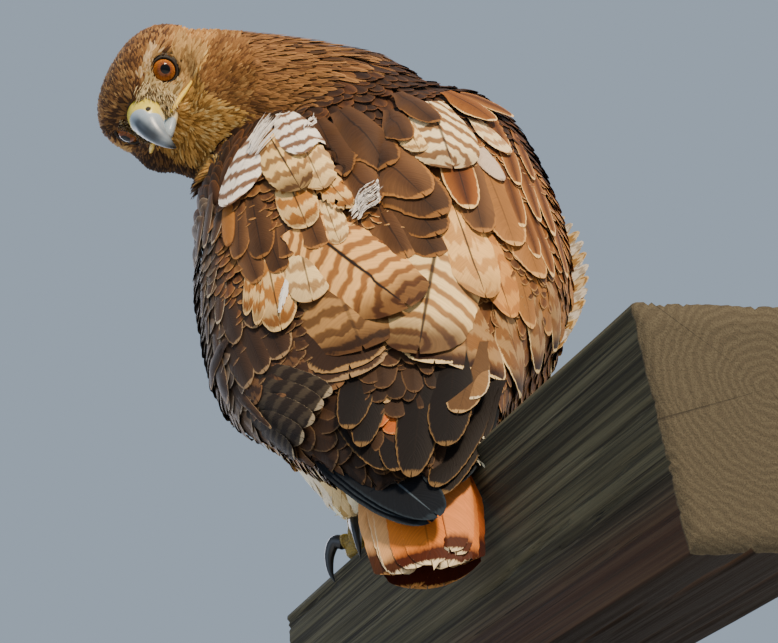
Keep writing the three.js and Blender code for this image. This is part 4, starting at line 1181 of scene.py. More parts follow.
def bill_shape(table, upper):
    """Half of the bill from rows of places ahead and up, half widths, heights and slopes."""
    around = 40
    rows = eased(table, 6)
    points = []
    for ahead, up, half, high, slope in rows:
        tilt = math.radians(slope)
        for k in range(around):
            angle = k / around * 2 * math.pi
            c, n = math.cos(angle), math.sin(angle)
            if upper:
                # keeled above, flat-sided below, with the cere swollen over its root
                c = c * (1 - 0.1 * max(n, 0) ** 2)
                cere = float(smooth_step(24, 29, ahead) * smooth_step(40.5, 37.0, ahead))
                grow = 1 + 0.05 * cere * max(n, 0) ** 0.5 if n > 0 else 1 + 0.02 * cere
                groove = 1 - 0.035 * float(smooth_step(37, 39, ahead) * smooth_step(42, 39.5, ahead))
                c, n = c * grow * groove, n * grow * groove
            left, rise = c * half, n * high
            points.append([left, ahead + rise * math.sin(tilt), up + rise * math.cos(tilt)])
    points = np.array(points)
    if upper:
        for side in (1, -1):
            centre = NOSTRIL * [side, 1, 1]
            d = points - centre
            away = np.sqrt((d[:, 1] / 1.5) ** 2 + (d[:, 2] / 1.1) ** 2 + (d[:, 0] / 4) ** 2)
            points[:, 0] -= side * 1.0 * smooth_step(1.1, 0.4, away)
            points[:, 0] += side * 0.35 * smooth_step(0.9, 1.3, away) * smooth_step(2.1, 1.3, away)
    ends = [points[:around].mean(0), points[-around:].mean(0) + [0, 0, -0.4 if upper else 0]]
    points = np.vstack([points, ends])
    return head_point(*[points[:, [k]] for k in range(3)]), tube_faces(len(rows), around)


bill_horn, add, shader = finish_of("bill_horn_and_cere")
where = add("TexCoord")["Object"]
# how far a place on the bill lies to the left, ahead and up from the middle of the head, in millimetres
from_centre = add("VectorMath SUBTRACT", [where, tuple(HEAD_CENTRE / 1000)])[0]
bill_left, bill_ahead, bill_up = (
    add("VectorMath DOT_PRODUCT", [from_centre, tuple(axis * 1000)])["Value"]
    for axis in (HEAD_LEFT, HEAD_AHEAD, HEAD_UP))
sideways = add("Math ABSOLUTE", [bill_left])[0]
mottle = add("TexNoise", {"Vector": where, "Scale": 260.0, "Detail": 4.0})[0]
grain = add("TexNoise", {"Vector": where, "Scale": 900.0, "Detail": 3.0})[0]
horn = add("Mix", {0: add("MapRange", [bill_ahead, 38, 52], **SOFT_STEP)[0], 6: linear("#9db0be"),
                   7: linear("#566470")}, data_type="RGBA")[2]
horn = add("Mix", {0: add("Math MULTIPLY", [mottle, 0.35])[0], 6: horn, 7: linear("#c7d0d4")},
           data_type="RGBA")[2]
ridge = add("Math MULTIPLY", [add("MapRange", [sideways, 5.2, 1.2], **SOFT_STEP)[0],
                              add("MapRange", [bill_up, -14.0, -6.0], **SOFT_STEP)[0]])[0]
ridge = add("Math MULTIPLY", [ridge, add("MapRange", [bill_ahead, 38.5, 45.0], **SOFT_STEP)[0]])[0]
horn = add("Mix", {0: add("Math MULTIPLY", [ridge, 0.85])[0], 6: horn, 7: linear("#23292f")},
           data_type="RGBA")[2]
horn = add("Mix", {0: add("MapRange", [bill_up, -13.5, -20.5], **SOFT_STEP)[0], 6: horn,
                   7: linear("#1a1d21")}, data_type="RGBA")[2]
lower_part = add("Math MULTIPLY", [add("MapRange", [bill_up, -11.5, -13.5], **SOFT_STEP)[0],
                                   add("MapRange", [bill_ahead, 49.0, 44.0], **SOFT_STEP)[0]])[0]
horn = add("Mix", {0: add("Math MULTIPLY", [lower_part, 0.8])[0], 6: horn, 7: linear("#a3b0b6")},
           data_type="RGBA")[2]
bulge = add("Math POWER", [add("Math DIVIDE", [add("Math SUBTRACT", [bill_up, 1.0])[0], 4.0])[0], 2.0])[0]
bulge = add("Math EXPONENT", [add("Math MULTIPLY", [bulge, -1.0])[0]])[0]
edge_at = add("Math MULTIPLY_ADD", [bulge, 3.2, 37.2])[0]
edge_at = add("Math MULTIPLY_ADD", [mottle, 0.8, edge_at])[0]
below = add("MapRange", [bill_up, -9.5, -11.5], **SOFT_STEP)[0]
edge_at = add("Math MULTIPLY_ADD", [below, -6.0, edge_at])[0]
in_cere = add("MapRange", [add("Math SUBTRACT", [bill_ahead, edge_at])[0], 0.35, -0.35], **SOFT_STEP)[0]
wax = add("Mix", {0: mottle, 6: linear("#cdb52c"), 7: linear("#f0dd5c")}, data_type="RGBA")[2]
wax = add("Mix", {0: add("MapRange", [bill_up, -3.0, -9.0], **SOFT_STEP)[0], 6: wax, 7: linear("#e3d3a2")},
          data_type="RGBA")[2]
colour = add("Mix", {0: in_cere, 6: horn, 7: wax}, data_type="RGBA")[2]
# the nostrils are painted dark over shallow pits: painted shade for the depth of the holes
pit = add("CombineXYZ", [add("Math DIVIDE", [add("Math SUBTRACT", [bill_ahead, NOSTRIL[1]])[0], 2.0])[0],
                         add("Math DIVIDE", [add("Math SUBTRACT", [bill_up, NOSTRIL[2]])[0], 1.6])[0]])[0]
pit = add("VectorMath LENGTH", [pit])["Value"]
nostril_shade = add("Math MULTIPLY", [add("MapRange", [pit, 1.15, 0.75], **SOFT_STEP)[0],
                             add("MapRange", [sideways, 3.0, 4.5], **SOFT_STEP)[0]])[0]
colour = add("Mix", {0: nostril_shade, 6: colour, 7: linear("#1a130b")}, data_type="RGBA")[2]
wire(shader, {"Base Color": colour,
              "Normal": add("Bump", {"Strength": 0.25, "Distance": 0.0002, "Height": grain})[0],
              "Roughness": add("MapRange", [pit, 1.3, 0.8, 0.36, 0.9], **SOFT_STEP)[0], "Coat Weight": 0.1,
              "Coat Roughness": 0.25})
for name, table, upper in (("bill_upper_shaped", UPPER_BILL, True), ("bill_lower_shaped", LOWER_BILL, False)):
    points, faces = bill_shape(table, upper)
    bill = place(name, points, faces, bill_horn)
    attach(bill, "root")
    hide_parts(name[:10])

# Gape: the soft yellow rim of the mouth, which runs from the root of the bill back under each eye. It is
# bare waxy skin, a low smooth fold that lets a little light in.
gape_skin, add, shader = finish_of("gape_skin")
where = add("TexCoord")["Object"]
mottle = add("TexNoise", {"Vector": where, "Scale": 700.0, "Detail": 3.0})[0]
colour = add("Mix", {0: mottle, 6: linear("#e0ab10"), 7: linear("#ffe368")}, data_type="RGBA")[2]
relief = add("Bump", {"Strength": 0.3, "Distance": 0.0003, "Height": mottle})[0]
wire(shader, {"Base Color": colour, "Normal": relief, "Roughness": 0.45, "Subsurface Weight": 0.1,
              "Subsurface Radius": (0.002, 0.001, 0.0005)})


def swept(path, sizes, around, top):
    """A smooth tube along a path: its points and faces."""
    points = []
    for i, p in enumerate(path):
        way = unit(path[min(i + 1, len(path) - 1)] - path[max(i - 1, 0)])
        side = unit(np.cross(way, top))
        up = np.cross(side, way)
        for k in range(around):
            angle = -k / around * 2 * math.pi
            points.append(p + side * math.cos(angle) * sizes[i][0] + up * math.sin(angle) * sizes[i][1])
    ends = [path[0] - unit(path[1] - path[0]) * 0.2 * sizes[0][0],
            path[-1] + unit(path[-1] - path[-2]) * 0.3 * sizes[-1][0]]
    return np.vstack([points, ends]), tube_faces(len(path), around)


points, faces = [], []
for side in (1, -1):
    line = eased([[10.6, 34.5, -11.2], [12.2, 30.0, -12.0], [14.8, 25.2, -13.1], [20.4, 19.3, -14.9],
                  [25.0, 15.0, -16.4], [28.6, 11.6, -17.6]], 6)
    path = []
    for left, ahead, up in line:
        near, _, face, _ = form_tree.find_nearest(head_point(left * side, ahead, up))
        path.append(np.array(near) + face_normals[face] * (0.6 + 1.0 * float(smooth_step(16, 28, ahead))))
    thick = [1.6 * (1 - 0.55 * smooth_step(0.6, 1, t)) * (0.5 + 0.5 * smooth_step(0, 0.15, t))
             for t in np.linspace(0, 1, len(path))]
    made, sides = swept(path, [(t, t * 1.15) for t in thick], 10, HEAD_AHEAD)
    faces += [tuple(len(points) + i for i in f) for f in sides]
    points += list(made)
gape = place("gape", points, faces, gape_skin)
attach(gape, "root")

# Eyes: glass spheres set deep in the lids, with a bulging clear front. The iris is a streaked red-brown
# with a dark rim, round a black pupil; around each lies a narrow black lid and a ring of bare buff skin.
EYE_RADIUS = 10.5
eye_glass, add, shader = finish_of("eye_glass")
gaze = add("SeparateXYZ", [add("UVMap", uv_map="Gaze")[0]])
from_middle = add("Math MULTIPLY", [gaze[0], 180.0])[0]
ray_spot = add("CombineXYZ", [add("Math MULTIPLY", [gaze[1], 70.0])[0],
                              add("Math MULTIPLY", [gaze[0], 12.0])[0]])[0]
rays = add("TexNoise", {"Vector": ray_spot, "Scale": 1.0, "Detail": 3.0})[0]
iris = add("Mix", {0: add("MapRange", [from_middle, 17, 42], **SOFT_STEP)[0], 6: linear("#7c4522"),
                   7: linear("#b8702f")}, data_type="RGBA")[2]
iris = add("Mix", {0: add("MapRange", [rays, 0.35, 0.7, 0.0, 0.7], **SOFT_STEP)[0], 6: iris,
                   7: linear("#4b2412")}, data_type="RGBA")[2]
iris = add("Mix", {0: add("MapRange", [from_middle, 40.5, 45.5], **SOFT_STEP)[0], 6: iris,
                   7: linear("#120c09")}, data_type="RGBA")[2]
iris = add("Mix", {0: add("MapRange", [from_middle, 17.6, 16.2], **SOFT_STEP)[0], 6: iris,
                   7: linear("#040404")}, data_type="RGBA")[2]
wire(shader, {"Base Color": iris, "Roughness": 0.12, "Specular IOR Level": 0.2, "Coat Weight": 0.2,
              "Coat Roughness": 0.02})

lid_skin, add, shader = finish_of("lid_skin")
ring_at = add("SeparateXYZ", [add("UVMap", uv_map="Gaze")[0]])
where = add("TexCoord")["Object"]
pores = add("TexVoronoi", {"Vector": where, "Scale": 1500.0})[0]
colour = add("Mix", {0: add("MapRange", [ring_at[0], 0.55, 0.75], **SOFT_STEP)[0], 6: linear("#0b0a09"),
                     7: linear("#3b2d1a")}, data_type="RGBA")[2]
colour = add("Mix", {0: add("Math MULTIPLY", [pores, 0.5])[0], 6: colour, 7: linear("#3e3423")},
             data_type="RGBA")[2]
wire(shader, {"Base Color": colour,
              "Normal": add("Bump", {"Strength": 0.4, "Distance": 0.0003, "Height": pores})[0],
              "Roughness": 0.6, "Specular IOR Level": 0.25})


def mapped(item, title, values, faces):
    """Gives a piece its own map, one pair of numbers for each point."""
    layer = item.data.uv_layers.new(name=title)
    loops = [i for f in faces for i in f]
    layer.data.foreach_set("uv", np.asarray(values)[loops].ravel())


for side, name in ((1, "left"), (-1, "right")):
    look = unit(HEAD_LEFT * EYE_LOOK[0] * side + HEAD_AHEAD * EYE_LOOK[1] + HEAD_UP * EYE_LOOK[2])
    centre = head_point(EYE_AT[0] * side, EYE_AT[1], EYE_AT[2])
    across = unit(np.cross(look, HEAD_UP))
    rise = np.cross(across, look)
    points, gaze_at = [], []
    for i in range(1, 40):
        angle = math.radians(i * 4.6)
        radius = EYE_RADIUS + 0.85 * float(smooth_step(42, 18, i * 4.6)) - 0.15
        for k in range(64):
            turn = k / 64 * 2 * math.pi
            d = look * math.cos(angle) + (across * math.cos(turn) + rise * math.sin(turn)) * math.sin(angle)
            points.append(centre + d * radius)
            gaze_at.append((angle / math.pi, k / 64))
    points += [centre + look * (EYE_RADIUS + 0.7), centre - look * EYE_RADIUS]
    gaze_at += [(0, 0), (1, 0)]
    faces = tube_faces(39, 64)
    eye = place("eye_" + name + "_glass", points, faces, eye_glass)
    mapped(eye, "Gaze", gaze_at, faces)
    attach(eye, "root")
    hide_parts("eye_" + name)

    points, gaze_at = [], []
    rows = ((7.55, 6.7), (7.62, 7.35), (7.9, 7.85), (8.35, 8.1), (8.85, 8.0), (9.3, 7.6))
    for k in range(72):
        turn = k / 72 * 2 * math.pi
        d = across * math.cos(turn) + rise * math.sin(turn)
        brow = max(math.sin(turn), 0) ** 2
        inner = [centre + d * (a - 0.25 * brow) + look * (h + 0.3 * brow * (i > 1))
                 for i, (a, h) in enumerate(rows)]
        near, _, face, _ = form_tree.find_nearest(centre + d * 11.6 + look * 6.5)
        outer = np.array(near) - face_normals[face] * 0.9
        for i, p in enumerate(inner):
            points.append(p)
            gaze_at.append((i / 9, k / 72))
        for i, t in enumerate((0.3, 0.65, 1.0)):
            points.append(inner[-1] * (1 - t) + outer * t + look * 0.35 * math.sin(math.pi * t))
            gaze_at.append(((6 + i) / 9, k / 72))
    faces = []
    for k in range(72):
        for i in range(8):
            a, b = k * 9 + i, (k + 1) % 72 * 9 + i
            faces.append((a, a + 1, b + 1, b) if side > 0 else (a, b, b + 1, a + 1))
    lid = place("eyelid_" + name, points, faces, lid_skin)
    mapped(lid, "Gaze", gaze_at, faces)
    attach(lid, "root")


# Legs and feet: yellow skin covered with horny scutes, broad across the front of the shank and the top of
# the toes, small and rounded elsewhere, all darkened to olive as painted shade. They are one surface from the
# ankle feathers to the claws.
TIMBER_TOP = 320.0
FEET = {"left": np.array([39, -61, TIMBER_TOP]), "right": np.array([-31, -47, TIMBER_TOP])}
TOES = {"left": (("inner", -42, 31, 6.4, 21), ("middle", -8, 44, 5.8, 18), ("outer", 66, 11, 5.6, 15),
                 ("hind", 180, 14, 6.4, 23)),
        "right": (("inner", 46, 31, 6.4, 21), ("middle", 12, 44, 5.8, 18), ("outer", -22, 34, 5.2, 15),
                  ("hind", 186, 22, 6.4, 23))}
UP = np.array([0, 0, 1.0])

scaled_skin, add, shader = finish_of("scaled_leg_skin")
where = add("TexCoord")["Object"]
cells = add("TexVoronoi", {"Vector": where, "Scale": 620.0}, feature="DISTANCE_TO_EDGE")[0]
mottle = add("TexNoise", {"Vector": where, "Scale": 180.0, "Detail": 4.0})[0]
# the skin's yellow is darkened to olive: painted shade under the body
colour = add("Mix", {0: mottle, 6: linear("#6f5c22"), 7: linear("#b39a3f")}, data_type="RGBA")[2]
colour = add("Mix", {0: add("MapRange", [cells, 0.12, 0.02, 0.0, 0.7], **SOFT_STEP)[0], 6: colour,
                     7: linear("#5a4a1e")}, data_type="RGBA")[2]
wire(shader, {"Base Color": colour,
              "Normal": add("Bump", {"Strength": 0.5, "Distance": 0.0005,
                                     "Height": add("MapRange", [cells, 0.0, 0.15], **SOFT_STEP)[0]})[0],
              "Roughness": 0.45})

scute_horn, add, shader = finish_of("scute_horn")
where = add("TexCoord")["Object"]
mottle = add("TexNoise", {"Vector": where, "Scale": 300.0, "Detail": 4.0})[0]
# the scutes' yellow is darkened to olive: painted shade under the body
colour = add("Mix", {0: mottle, 6: linear("#86702a"), 7: linear("#cdb552")}, data_type="RGBA")[2]
relief = add("Bump", {"Strength": 0.2, "Distance": 0.0002, "Height": mottle})[0]
wire(shader, {"Base Color": colour, "Normal": relief, "Roughness": 0.38})

talon_horn, add, shader = finish_of("talon_horn")
where = add("TexCoord")["Object"]
mottle = add("TexNoise", {"Vector": where, "Scale": 400.0, "Detail": 4.0})[0]
colour = add("Mix", {0: mottle, 6: linear("#121416"), 7: linear("#2b2f33")}, data_type="RGBA")[2]
relief = add("Bump", {"Strength": 0.15, "Distance": 0.0002, "Height": mottle})[0]
wire(shader, {"Base Color": colour, "Normal": relief, "Roughness": 0.28})


def scute_tree():
    """Geometry nodes that set one scute on every point, along its row."""
    group = bpy.data.node_groups.new("scutes_in_rows", "GeometryNodeTree")
    group.interface.new_socket("Geometry", in_out="INPUT", socket_type="NodeSocketGeometry")
    for title, value in (("Scute thickness", 0.0011), ("Scute roundness", 0.5)):
        group.interface.new_socket(title, in_out="INPUT", socket_type="NodeSocketFloat").default_value = value
    group.interface.new_socket("Finish", in_out="INPUT", socket_type="NodeSocketMaterial")
    group.interface.new_socket("Geometry", in_out="OUTPUT", socket_type="NodeSocketGeometry")
    add = partial(add_node, group)
    given = add("NodeGroupInput")
    ball = add("GeometryNodeMeshUVSphere", {"Segments": 10, "Rings": 6, "Radius": 0.5})
    outward = add("GeometryNodeInputNamedAttribute", {"Name": "outward"}, data_type="FLOAT_VECTOR")
    toward = add("GeometryNodeInputNamedAttribute", {"Name": "toward"}, data_type="FLOAT_VECTOR")
    size = add("GeometryNodeInputNamedAttribute", {"Name": "size"}, data_type="FLOAT_VECTOR")
    stand = add("FunctionNodeAlignRotationToVector", {"Vector": outward[0]}, axis="Z")
    turn = add("FunctionNodeAlignRotationToVector", {"Rotation": stand[0], "Vector": toward[0]},
               axis="X", pivot_axis="Z")
    parts = add("SeparateXYZ", [size[0]])
    scale = add("CombineXYZ", [parts[0], parts[1], given[1]])
    set_on = add("GeometryNodeInstanceOnPoints", {"Points": given[0], "Instance": ball[0],
                 "Rotation": turn[0], "Scale": scale[0]})
    real = add("GeometryNodeRealizeInstances", [set_on[0]])
    smooth = add("GeometryNodeSetShadeSmooth", [real[0]])
    painted = add("GeometryNodeSetMaterial", {0: smooth[0], "Material": given["Finish"]})
    add("NodeGroupOutput", [painted[0]])
    return group


scute_rows = scute_tree()


def toe_line(foot, label, degrees, reach, thick, name):
    """A toe's way over the timber: its heading, its lift, the line through it and its sizes."""
    turn = math.radians(degrees)
    d = np.array([math.sin(turn), -math.cos(turn), 0])
    low = thick + 0.3
    lift = 7 if name == "left" and label in ("outer", "hind") else 0
    rows = [(-1, low + 3 + lift * 0.3), (reach * 0.3, low + 1.6 + lift * 0.6),
            (reach * 0.62, low + 0.2 + lift), (reach * 0.86, low + 0.4 + lift), (reach, low + lift)]
    line = eased([foot + d * a + UP * h for a, h in rows], 5)
    sizes = eased([[1, 1], [0.94, 0.96], [0.84, 0.88], [0.9, 0.94], [0.6, 0.7]], 5) * thick
    return d, lift, line, sizes


for name, foot in FEET.items():
    k = 1 if name == "left" else -1
    parts, faces, scutes = [], [], []

    def join(made, sides):
        base = sum(len(p) for p in parts)
        faces.extend(tuple(base + i for i in f) for f in sides)
        parts.append(made)

    shank = eased([foot + [0, 0, 4], foot + [0, 0.5, 9], foot + [0, 1, 13], foot + [0, 9, 26],
                   foot + [k, 24, 50]], 6)
    sizes = eased([[8.6, 9.6], [7.4, 7.6], [6.5, 6.3], [5.4, 5.6], [5.6, 6.2]], 6)
    join(*swept(shank, sizes, 20, np.array([0, 1.0, 0])))
    for i in range(3, len(shank) - 2):
        way = unit(shank[i + 1] - shank[i - 1])
        out = unit(np.array([0, -1, 0]) + way * way[1])
        scutes.append((shank[i] + out * (sizes[i][1] - 0.35), out, way, (3.6, 7.2)))
    turns = np.arange(16) / 16 * 2 * math.pi
    dome = eased([[0.05, 1], [0.7, 0.72], [1, 0.05], [0.8, -0.6], [0.1, -0.99]], 3)
    ball = [foot + [9.5 * r * math.cos(t), -1 + 11 * r * math.sin(t), 7.2 + 6.6 * h]
            for r, h in dome for t in turns]
    join(np.vstack([ball, [foot + [0, -1, 13.8], foot + [0, -1, 0.7]]]),
         [tuple(reversed(f)) for f in tube_faces(len(dome), 16)])
    for label, degrees, reach, thick, long in TOES[name]:
        d, lift, line, sizes = toe_line(foot, label, degrees, reach, thick, name)
        # joints and pads swell under the toe
        pads = 1 + 0.06 * np.cos(np.linspace(0, 5 * math.pi, len(line)))
        join(*swept(line, sizes * pads[:, None], 18, UP))
        for i in range(1, len(line) - 1):
            way = unit(line[i + 1] - line[i - 1])
            out = unit(UP - way * way[2])
            for step in (0, 0.5):
                spot = line[i] * (1 - step) + line[i + 1] * step
                wide = sizes[i][0] * 1.25
                scutes.append((spot + out * (sizes[i][1] - 0.45), out, way,
                               (max(reach / 24, 1.4) * 1.5, wide)))

        def at(along, high):
            return foot + d * (reach + 0.3 + along) + UP * (high + lift)

        if lift:
            path = [at(-0.5, thick + 1.6), at(long * 0.36, thick + 3.4), at(long * 0.66, thick - 3.5),
                    at(long * 0.72, thick - 13), at(long * 0.6, thick - 20)]
        else:
            path = [at(-0.5, thick + 0.8), at(long * 0.3, thick + 3.6), at(long * 0.62, thick + 1.6),
                    at(long * 0.86, thick - 3), at(long * 0.92, 1)]
        root = thick * 0.66
        girths = [[root * a, root * b] for a, b in ((1, 1.15), (0.95, 1.1), (0.72, 0.85), (0.42, 0.5))]
        points, sides = swept(eased(path, 6), eased(girths + [[0.3, 0.3]], 6), 16, unit(d + UP))
        claw = place("claw_" + name + "_" + label, points, sides, talon_horn)
        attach(claw, "root")
        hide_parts("talon_" + name + "_" + label)
    leg = place("leg_" + name, np.vstack(parts), faces, scaled_skin)
    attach(leg, "root")
    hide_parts("shank_" + name, "foot_" + name)

    mesh = bpy.data.meshes.new("scutes_" + name)
    mesh.from_pydata([tuple(s[0] / 1000) for s in scutes], [], [])
    for title, column in (("outward", [s[1] for s in scutes]), ("toward", [s[2] for s in scutes]),
                          ("size", [(s[3][0] / 1000, s[3][1] / 1000, 0) for s in scutes])):
        layer = mesh.attributes.new(title, "FLOAT_VECTOR", "POINT")
        layer.data.foreach_set("vector", np.array(column, float).ravel())
    rows = put("scutes_" + name, mesh)
    nodes = rows.modifiers.new("scutes", "NODES")
    nodes.node_group = scute_rows
    for item in scute_rows.interface.items_tree:
        if item.in_out == "INPUT" and item.name == "Finish":
            nodes[item.identifier] = scute_horn
        if item.in_out == "INPUT" and item.name == "Scute thickness":
            nodes[item.identifier] = 0.0016
    graph = bpy.context.evaluated_depsgraph_get()
    made = bpy.data.meshes.new_from_object(rows.evaluated_get(graph))
    rows.modifiers.remove(nodes)
    rows.data = made
    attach(rows, "root")


# Thigh plumage: long soft cream feathers, here and there washed with buff. They grow from the skin of the
# thigh, looser than the coat of the body, and hang over the leg to the ankle.
hanging_vane = Plan(10, 2, 0.4, 0.45, 1.6, 0.6, 0.1, 0, 7)


def to_foot(p, n):
    """The way a thigh feather hangs, down to its foot."""
    way = unit(FEET["left" if p[0] > 4 else "right"] + [0, 20, 20] - p)
    return unit(way - n * way.dot(n))


def thigh_look(p, chance):
    """Cream, here and there washed with buff; a thigh's feathers look alike all over."""
    pick, jog = chance.random(), chance.uniform(0.85, 1.15)
    return look_of("#fff4d8" if pick < 0.75 else "#e2cb98" if pick < 0.95 else "#b89a62", shade=jog)


body_tract("plumage_thighs", faces_where(thigh_zone), lambda p: np.full(len(p), 4.4), 44, hanging_vane, 6.4,
           0.8, 1.6, "plumage_leg", look=thigh_look, aim=to_foot, cling=0.7)


# Perch: a length of squared softwood timber, long out in the weather. It is silver-green and ridged along
# the grain, split by long drying checks, redder and sounder along its lower edges, with sawn ends.
TIMBER_OUT = unit([0.893, 0.45, 0])
TIMBER_RUN = np.array([-TIMBER_OUT[1], TIMBER_OUT[0], 0])
TIMBER_EDGE = np.array([39, -35, TIMBER_TOP])
TIMBER_WIDE, TIMBER_TALL, ARRIS = 89.0, 114.0, 3.0
TIMBER_FROM, TIMBER_TO = -125.0, 315.0


def wood_grain(add, corner, sizes):
    """How far a place lies along the timber, across and up from a corner, in millimetres, and noises drawn
    out along the grain, each with its length and fineness in millimetres and its detail."""
    where = add("TexCoord")["Object"]
    from_corner = add("VectorMath SUBTRACT", [where, tuple(corner / 1000)])[0]
    run, across, high = (
        add("VectorMath DOT_PRODUCT", [from_corner, tuple(axis * 1000)])["Value"]
        for axis in (TIMBER_RUN, TIMBER_OUT, UP))
    place_in = add("CombineXYZ", [run, across, high])[0]
    noises = []
    for long, fine, detail in sizes:
        drawn = add("VectorMath MULTIPLY", [place_in, (1 / long, 1 / fine, 1 / fine)])[0]
        noises.append(add("TexNoise", {"Vector": drawn, "Scale": 1.0, "Detail": detail, "Roughness": 0.6,
                                       "Distortion": 0.05})[0])
    return run, across, high, noises


weathered, add, shader = finish_of("weathered_softwood")
run, across, high, (fibre, strand, stain, split) = wood_grain(
    add, TIMBER_EDGE, ((150.0, 0.8, 4.0), (380.0, 3.2, 3.0), (140.0, 22.0, 3.0), (300.0, 2.4, 2.0)))
crack = add("MapRange", [split, 0.35, 0.30], **SOFT_STEP)[0]
base = add("Mix", {0: stain, 6: linear("#3c3a29"), 7: linear("#6b664e")}, data_type="RGBA")[2]
base = add("Mix", {0: add("MapRange", [strand, 0.35, 0.65], **SOFT_STEP)[0], 6: linear("#2a281d"), 7: base},
           data_type="RGBA")[2]
base = add("Mix", {0: add("MapRange", [fibre, 0.55, 0.8, 0.0, 0.6], **SOFT_STEP)[0], 6: base,
                   7: linear("#7a7460")}, data_type="RGBA")[2]
reddish = add("Math MULTIPLY", [add("MapRange", [high, -72.0, -98.0], **SOFT_STEP)[0], 0.75])[0]
sound = add("Mix", {0: strand, 6: linear("#2c1a12"), 7: linear("#553728")}, data_type="RGBA")[2]
base = add("Mix", {0: reddish, 6: base, 7: sound}, data_type="RGBA")[2]
# the underside is painted near black: painted shade
underside_shade = add("MapRange", [high, -112.0, -113.5], **SOFT_STEP)[0]
underside_shade_colour = add("Mix", {0: strand, 6: linear("#120f0a"), 7: linear("#271d15")}, data_type="RGBA")[2]
base = add("Mix", {0: underside_shade, 6: base, 7: underside_shade_colour}, data_type="RGBA")[2]
base = add("Mix", {0: add("MapRange", [fibre, 0.46, 0.34, 0.0, 0.75], **SOFT_STEP)[0], 6: base,
                   7: linear("#26241e")}, data_type="RGBA")[2]
base = add("Mix", {0: add("Math MULTIPLY", [crack, 0.85])[0], 6: base, 7: linear("#14120e")},
           data_type="RGBA")[2]
# the sawn ends show growth rings
ring_spot = add("CombineXYZ", [add("Math ADD", [across, 60.0])[0], add("Math ADD", [high, 40.0])[0]])[0]
from_pith = add("VectorMath LENGTH", [ring_spot])["Value"]
wander = add("TexNoise", {"Vector": ring_spot, "Scale": 0.05, "Detail": 2.0})[0]
rings = add("Math MULTIPLY", [add("Math MULTIPLY_ADD", [wander, 14.0, from_pith])[0], 1.5])[0]
rings = add("Math SINE", [rings])[0]
speck = add("TexNoise", {"Vector": ring_spot, "Scale": 1.2, "Detail": 3.0})[0]
end_wood = add("Mix", {0: add("MapRange", [rings, -1.0, 1.0], **SOFT_STEP)[0], 6: linear("#5a523f"),
                       7: linear("#4f4736")}, data_type="RGBA")[2]
end_wood = add("Mix", {0: add("MapRange", [speck, 0.4, 0.7, 0.0, 0.7], **SOFT_STEP)[0], 6: end_wood,
                       7: linear("#3a3326")}, data_type="RGBA")[2]
around = add("VectorMath NORMALIZE", [ring_spot])[0]
shakes = add("TexNoise", {"Vector": around, "Scale": 9.0, "Detail": 4.0})[0]
end_wood = add("Mix", {0: add("MapRange", [shakes, 0.36, 0.33], **SOFT_STEP)[0], 6: end_wood,
                       7: linear("#17130d")}, data_type="RGBA")[2]
at_end = add("Math MAXIMUM", [add("MapRange", [run, TIMBER_TO - 1.2, TIMBER_TO - 0.6], **SOFT_STEP)[0],
                              add("MapRange", [run, TIMBER_FROM + 1.2, TIMBER_FROM + 0.6],
                                  **SOFT_STEP)[0]])[0]
base = add("Mix", {0: at_end, 6: base, 7: end_wood}, data_type="RGBA")[2]
height = add("Math MULTIPLY_ADD", [fibre, 0.6, strand])[0]
relief = add("Bump", {"Strength": 0.6, "Distance": 0.0012, "Height": height})[0]
wire(shader, {"Base Color": base, "Normal": relief, "Roughness": 0.85, "Specular IOR Level": 0.25})


def timber_section():
    """Points round the timber's section, out and up from its middle, with the way each faces."""
    wide, tall = TIMBER_WIDE / 2, TIMBER_TALL / 2
    corners = [(wide, -tall), (wide, tall), (-wide, tall), (-wide, -tall)]
    ring = []
    for i in range(4):
        a, b = np.array(corners[i], float), np.array(corners[(i + 1) % 4], float)
        way = unit(b - a)
        out = np.array([way[1], -way[0]])
        length = np.linalg.norm(b - a)
        steps = int((length - 2 * ARRIS) / 1.9)
        for s in np.linspace(ARRIS, length - ARRIS, steps):
            ring.append((a + way * s, out))
        after = unit(np.array(corners[(i + 2) % 4], float) - b)
        ring.append((b + (-way + after) * ARRIS * 0.29, unit(out + np.array([after[1], -after[0]]))))
    return ring


ring = timber_section()
chance = np.random.default_rng(77)
middle = TIMBER_EDGE - TIMBER_OUT * TIMBER_WIDE / 2 - UP * TIMBER_TALL / 2
checks = []
for _ in range(64):
    start = chance.uniform(TIMBER_FROM - 60, TIMBER_TO)
    checks.append((chance.uniform(0, len(ring)), start, start + chance.uniform(50, 240),
                   chance.uniform(0.8, 2.6), chance.uniform(-2.2, 2.2), chance.uniform(0, 6.3)))
stations = np.concatenate([[TIMBER_FROM], np.linspace(TIMBER_FROM + 0.8, TIMBER_TO - 0.8, 170), [TIMBER_TO]])
count = len(ring)
grid = np.zeros((len(stations), count))
places = np.arange(count)
for j in range(count):
    low = math.sin(j * 0.9) + math.sin(j * 2.3 + 1) + math.sin(j * 0.37 + 2)
    slow, quick = np.sin(stations / 47 + j * 1.7), np.sin(stations / 23 + j * 0.6)
    grid[:, j] = -0.28 - 0.16 * low - 0.12 * slow - 0.12 * quick
for begun, start, stop, deep, drift, phase in checks:
    for i, s in enumerate(stations):
        if start < s < stop:
            t = (s - start) / (stop - start)
            line = begun + drift * t + 0.35 * math.sin(s / 17 + phase)
            gap = np.abs((places - line + count / 2) % count - count / 2)
            grid[i] -= deep * math.sin(math.pi * t) ** 0.4 * smooth_step(0.85, 0.1, gap)
points = []
for i, s in enumerate(stations):
    for j, (spot, out) in enumerate(ring):
        moved = spot + out * min(grid[i][j], 0)
        points.append(middle + TIMBER_OUT * moved[0] + UP * moved[1] + TIMBER_RUN * s)
faces = []
for i in range(len(stations) - 1):
    for j in range(count):
        k = (j + 1) % count
        faces.append((i * count + j, (i + 1) * count + j, (i + 1) * count + k, i * count + k))
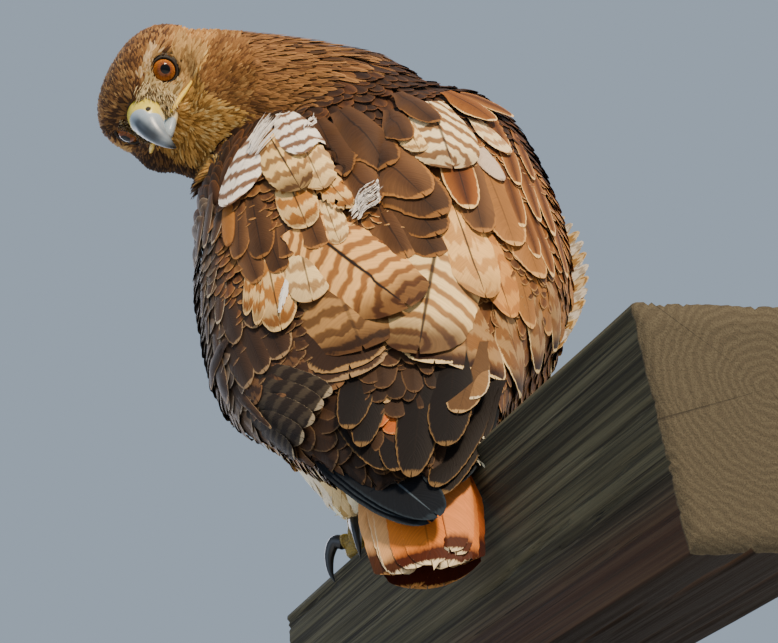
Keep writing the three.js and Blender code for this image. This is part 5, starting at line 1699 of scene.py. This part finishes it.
for i, back in ((0, False), (len(stations) - 1, True)):
    rim = [i * count + j for j in range(count)]
    inner, last = [], rim
    for shrink in (0.8, 0.55, 0.3):
        base_index = len(points)
        for j in range(count):
            spot = ring[j][0] * shrink
            points.append(middle + TIMBER_OUT * spot[0] + UP * spot[1] + TIMBER_RUN * stations[i])
        now = [base_index + j for j in range(count)]
        for j in range(count):
            k = (j + 1) % count
            face = (last[j], last[k], now[k], now[j])
            faces.append(tuple(reversed(face)) if back else face)
        last = now
    points.append(middle + TIMBER_RUN * stations[i])
    for j in range(count):
        face = (last[j], last[(j + 1) % count], len(points) - 1)
        faces.append(tuple(reversed(face)) if back else face)
perch = place("timber_perch", points, faces, weathered)
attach(perch, "root")
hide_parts("perch_timber")


# Display stand: a flat board of stained and waxed hardwood and two short rods of brushed steel, which
# carry the timber. The board's grain runs with the timber; the rods are turned, with fine lines round them.
stained_board, add, shader = finish_of("stained_hardwood")
figure, pores = wood_grain(add, np.zeros(3), ((220.0, 9.0, 4.0), (16.0, 0.7, 2.0)))[3]
base = add("Mix", {0: figure, 6: linear("#1c1511"), 7: linear("#3f2f23")}, data_type="RGBA")[2]
base = add("Mix", {0: add("MapRange", [pores, 0.42, 0.3, 0.0, 0.8], **SOFT_STEP)[0], 6: base,
                   7: linear("#0f0b09")}, data_type="RGBA")[2]
wire(shader, {"Base Color": base,
              "Normal": add("Bump", {"Strength": 0.25, "Distance": 0.0003, "Height": pores})[0],
              "Roughness": 0.5, "Coat Weight": 0.1, "Coat Roughness": 0.3})

brushed_steel, add, shader = finish_of("brushed_steel")
where = add("TexCoord")["Object"]
turned = add("Mapping", {0: where, 3: (60.0, 60.0, 4200.0)})[0]
lines = add("TexNoise", {"Vector": turned, "Scale": 1.0, "Detail": 3.0})[0]
colour = add("Mix", {0: lines, 6: linear("#8b8f93"), 7: linear("#c3c6c8")}, data_type="RGBA")[2]
relief = add("Bump", {"Strength": 0.1, "Distance": 0.0001, "Height": lines})[0]
wire(shader, {"Base Color": colour, "Normal": relief, "Metallic": 1.0,
              "Roughness": add("MapRange", [lines, 0.2, 0.8, 0.26, 0.42], **SOFT_STEP)[0]})
for node, material in (("stand_base", stained_board), ("stand_rod_1", brushed_steel),
                       ("stand_rod_2", brushed_steel)):
    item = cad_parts[node]
    item.data.materials.clear()
    item.data.materials.append(material)
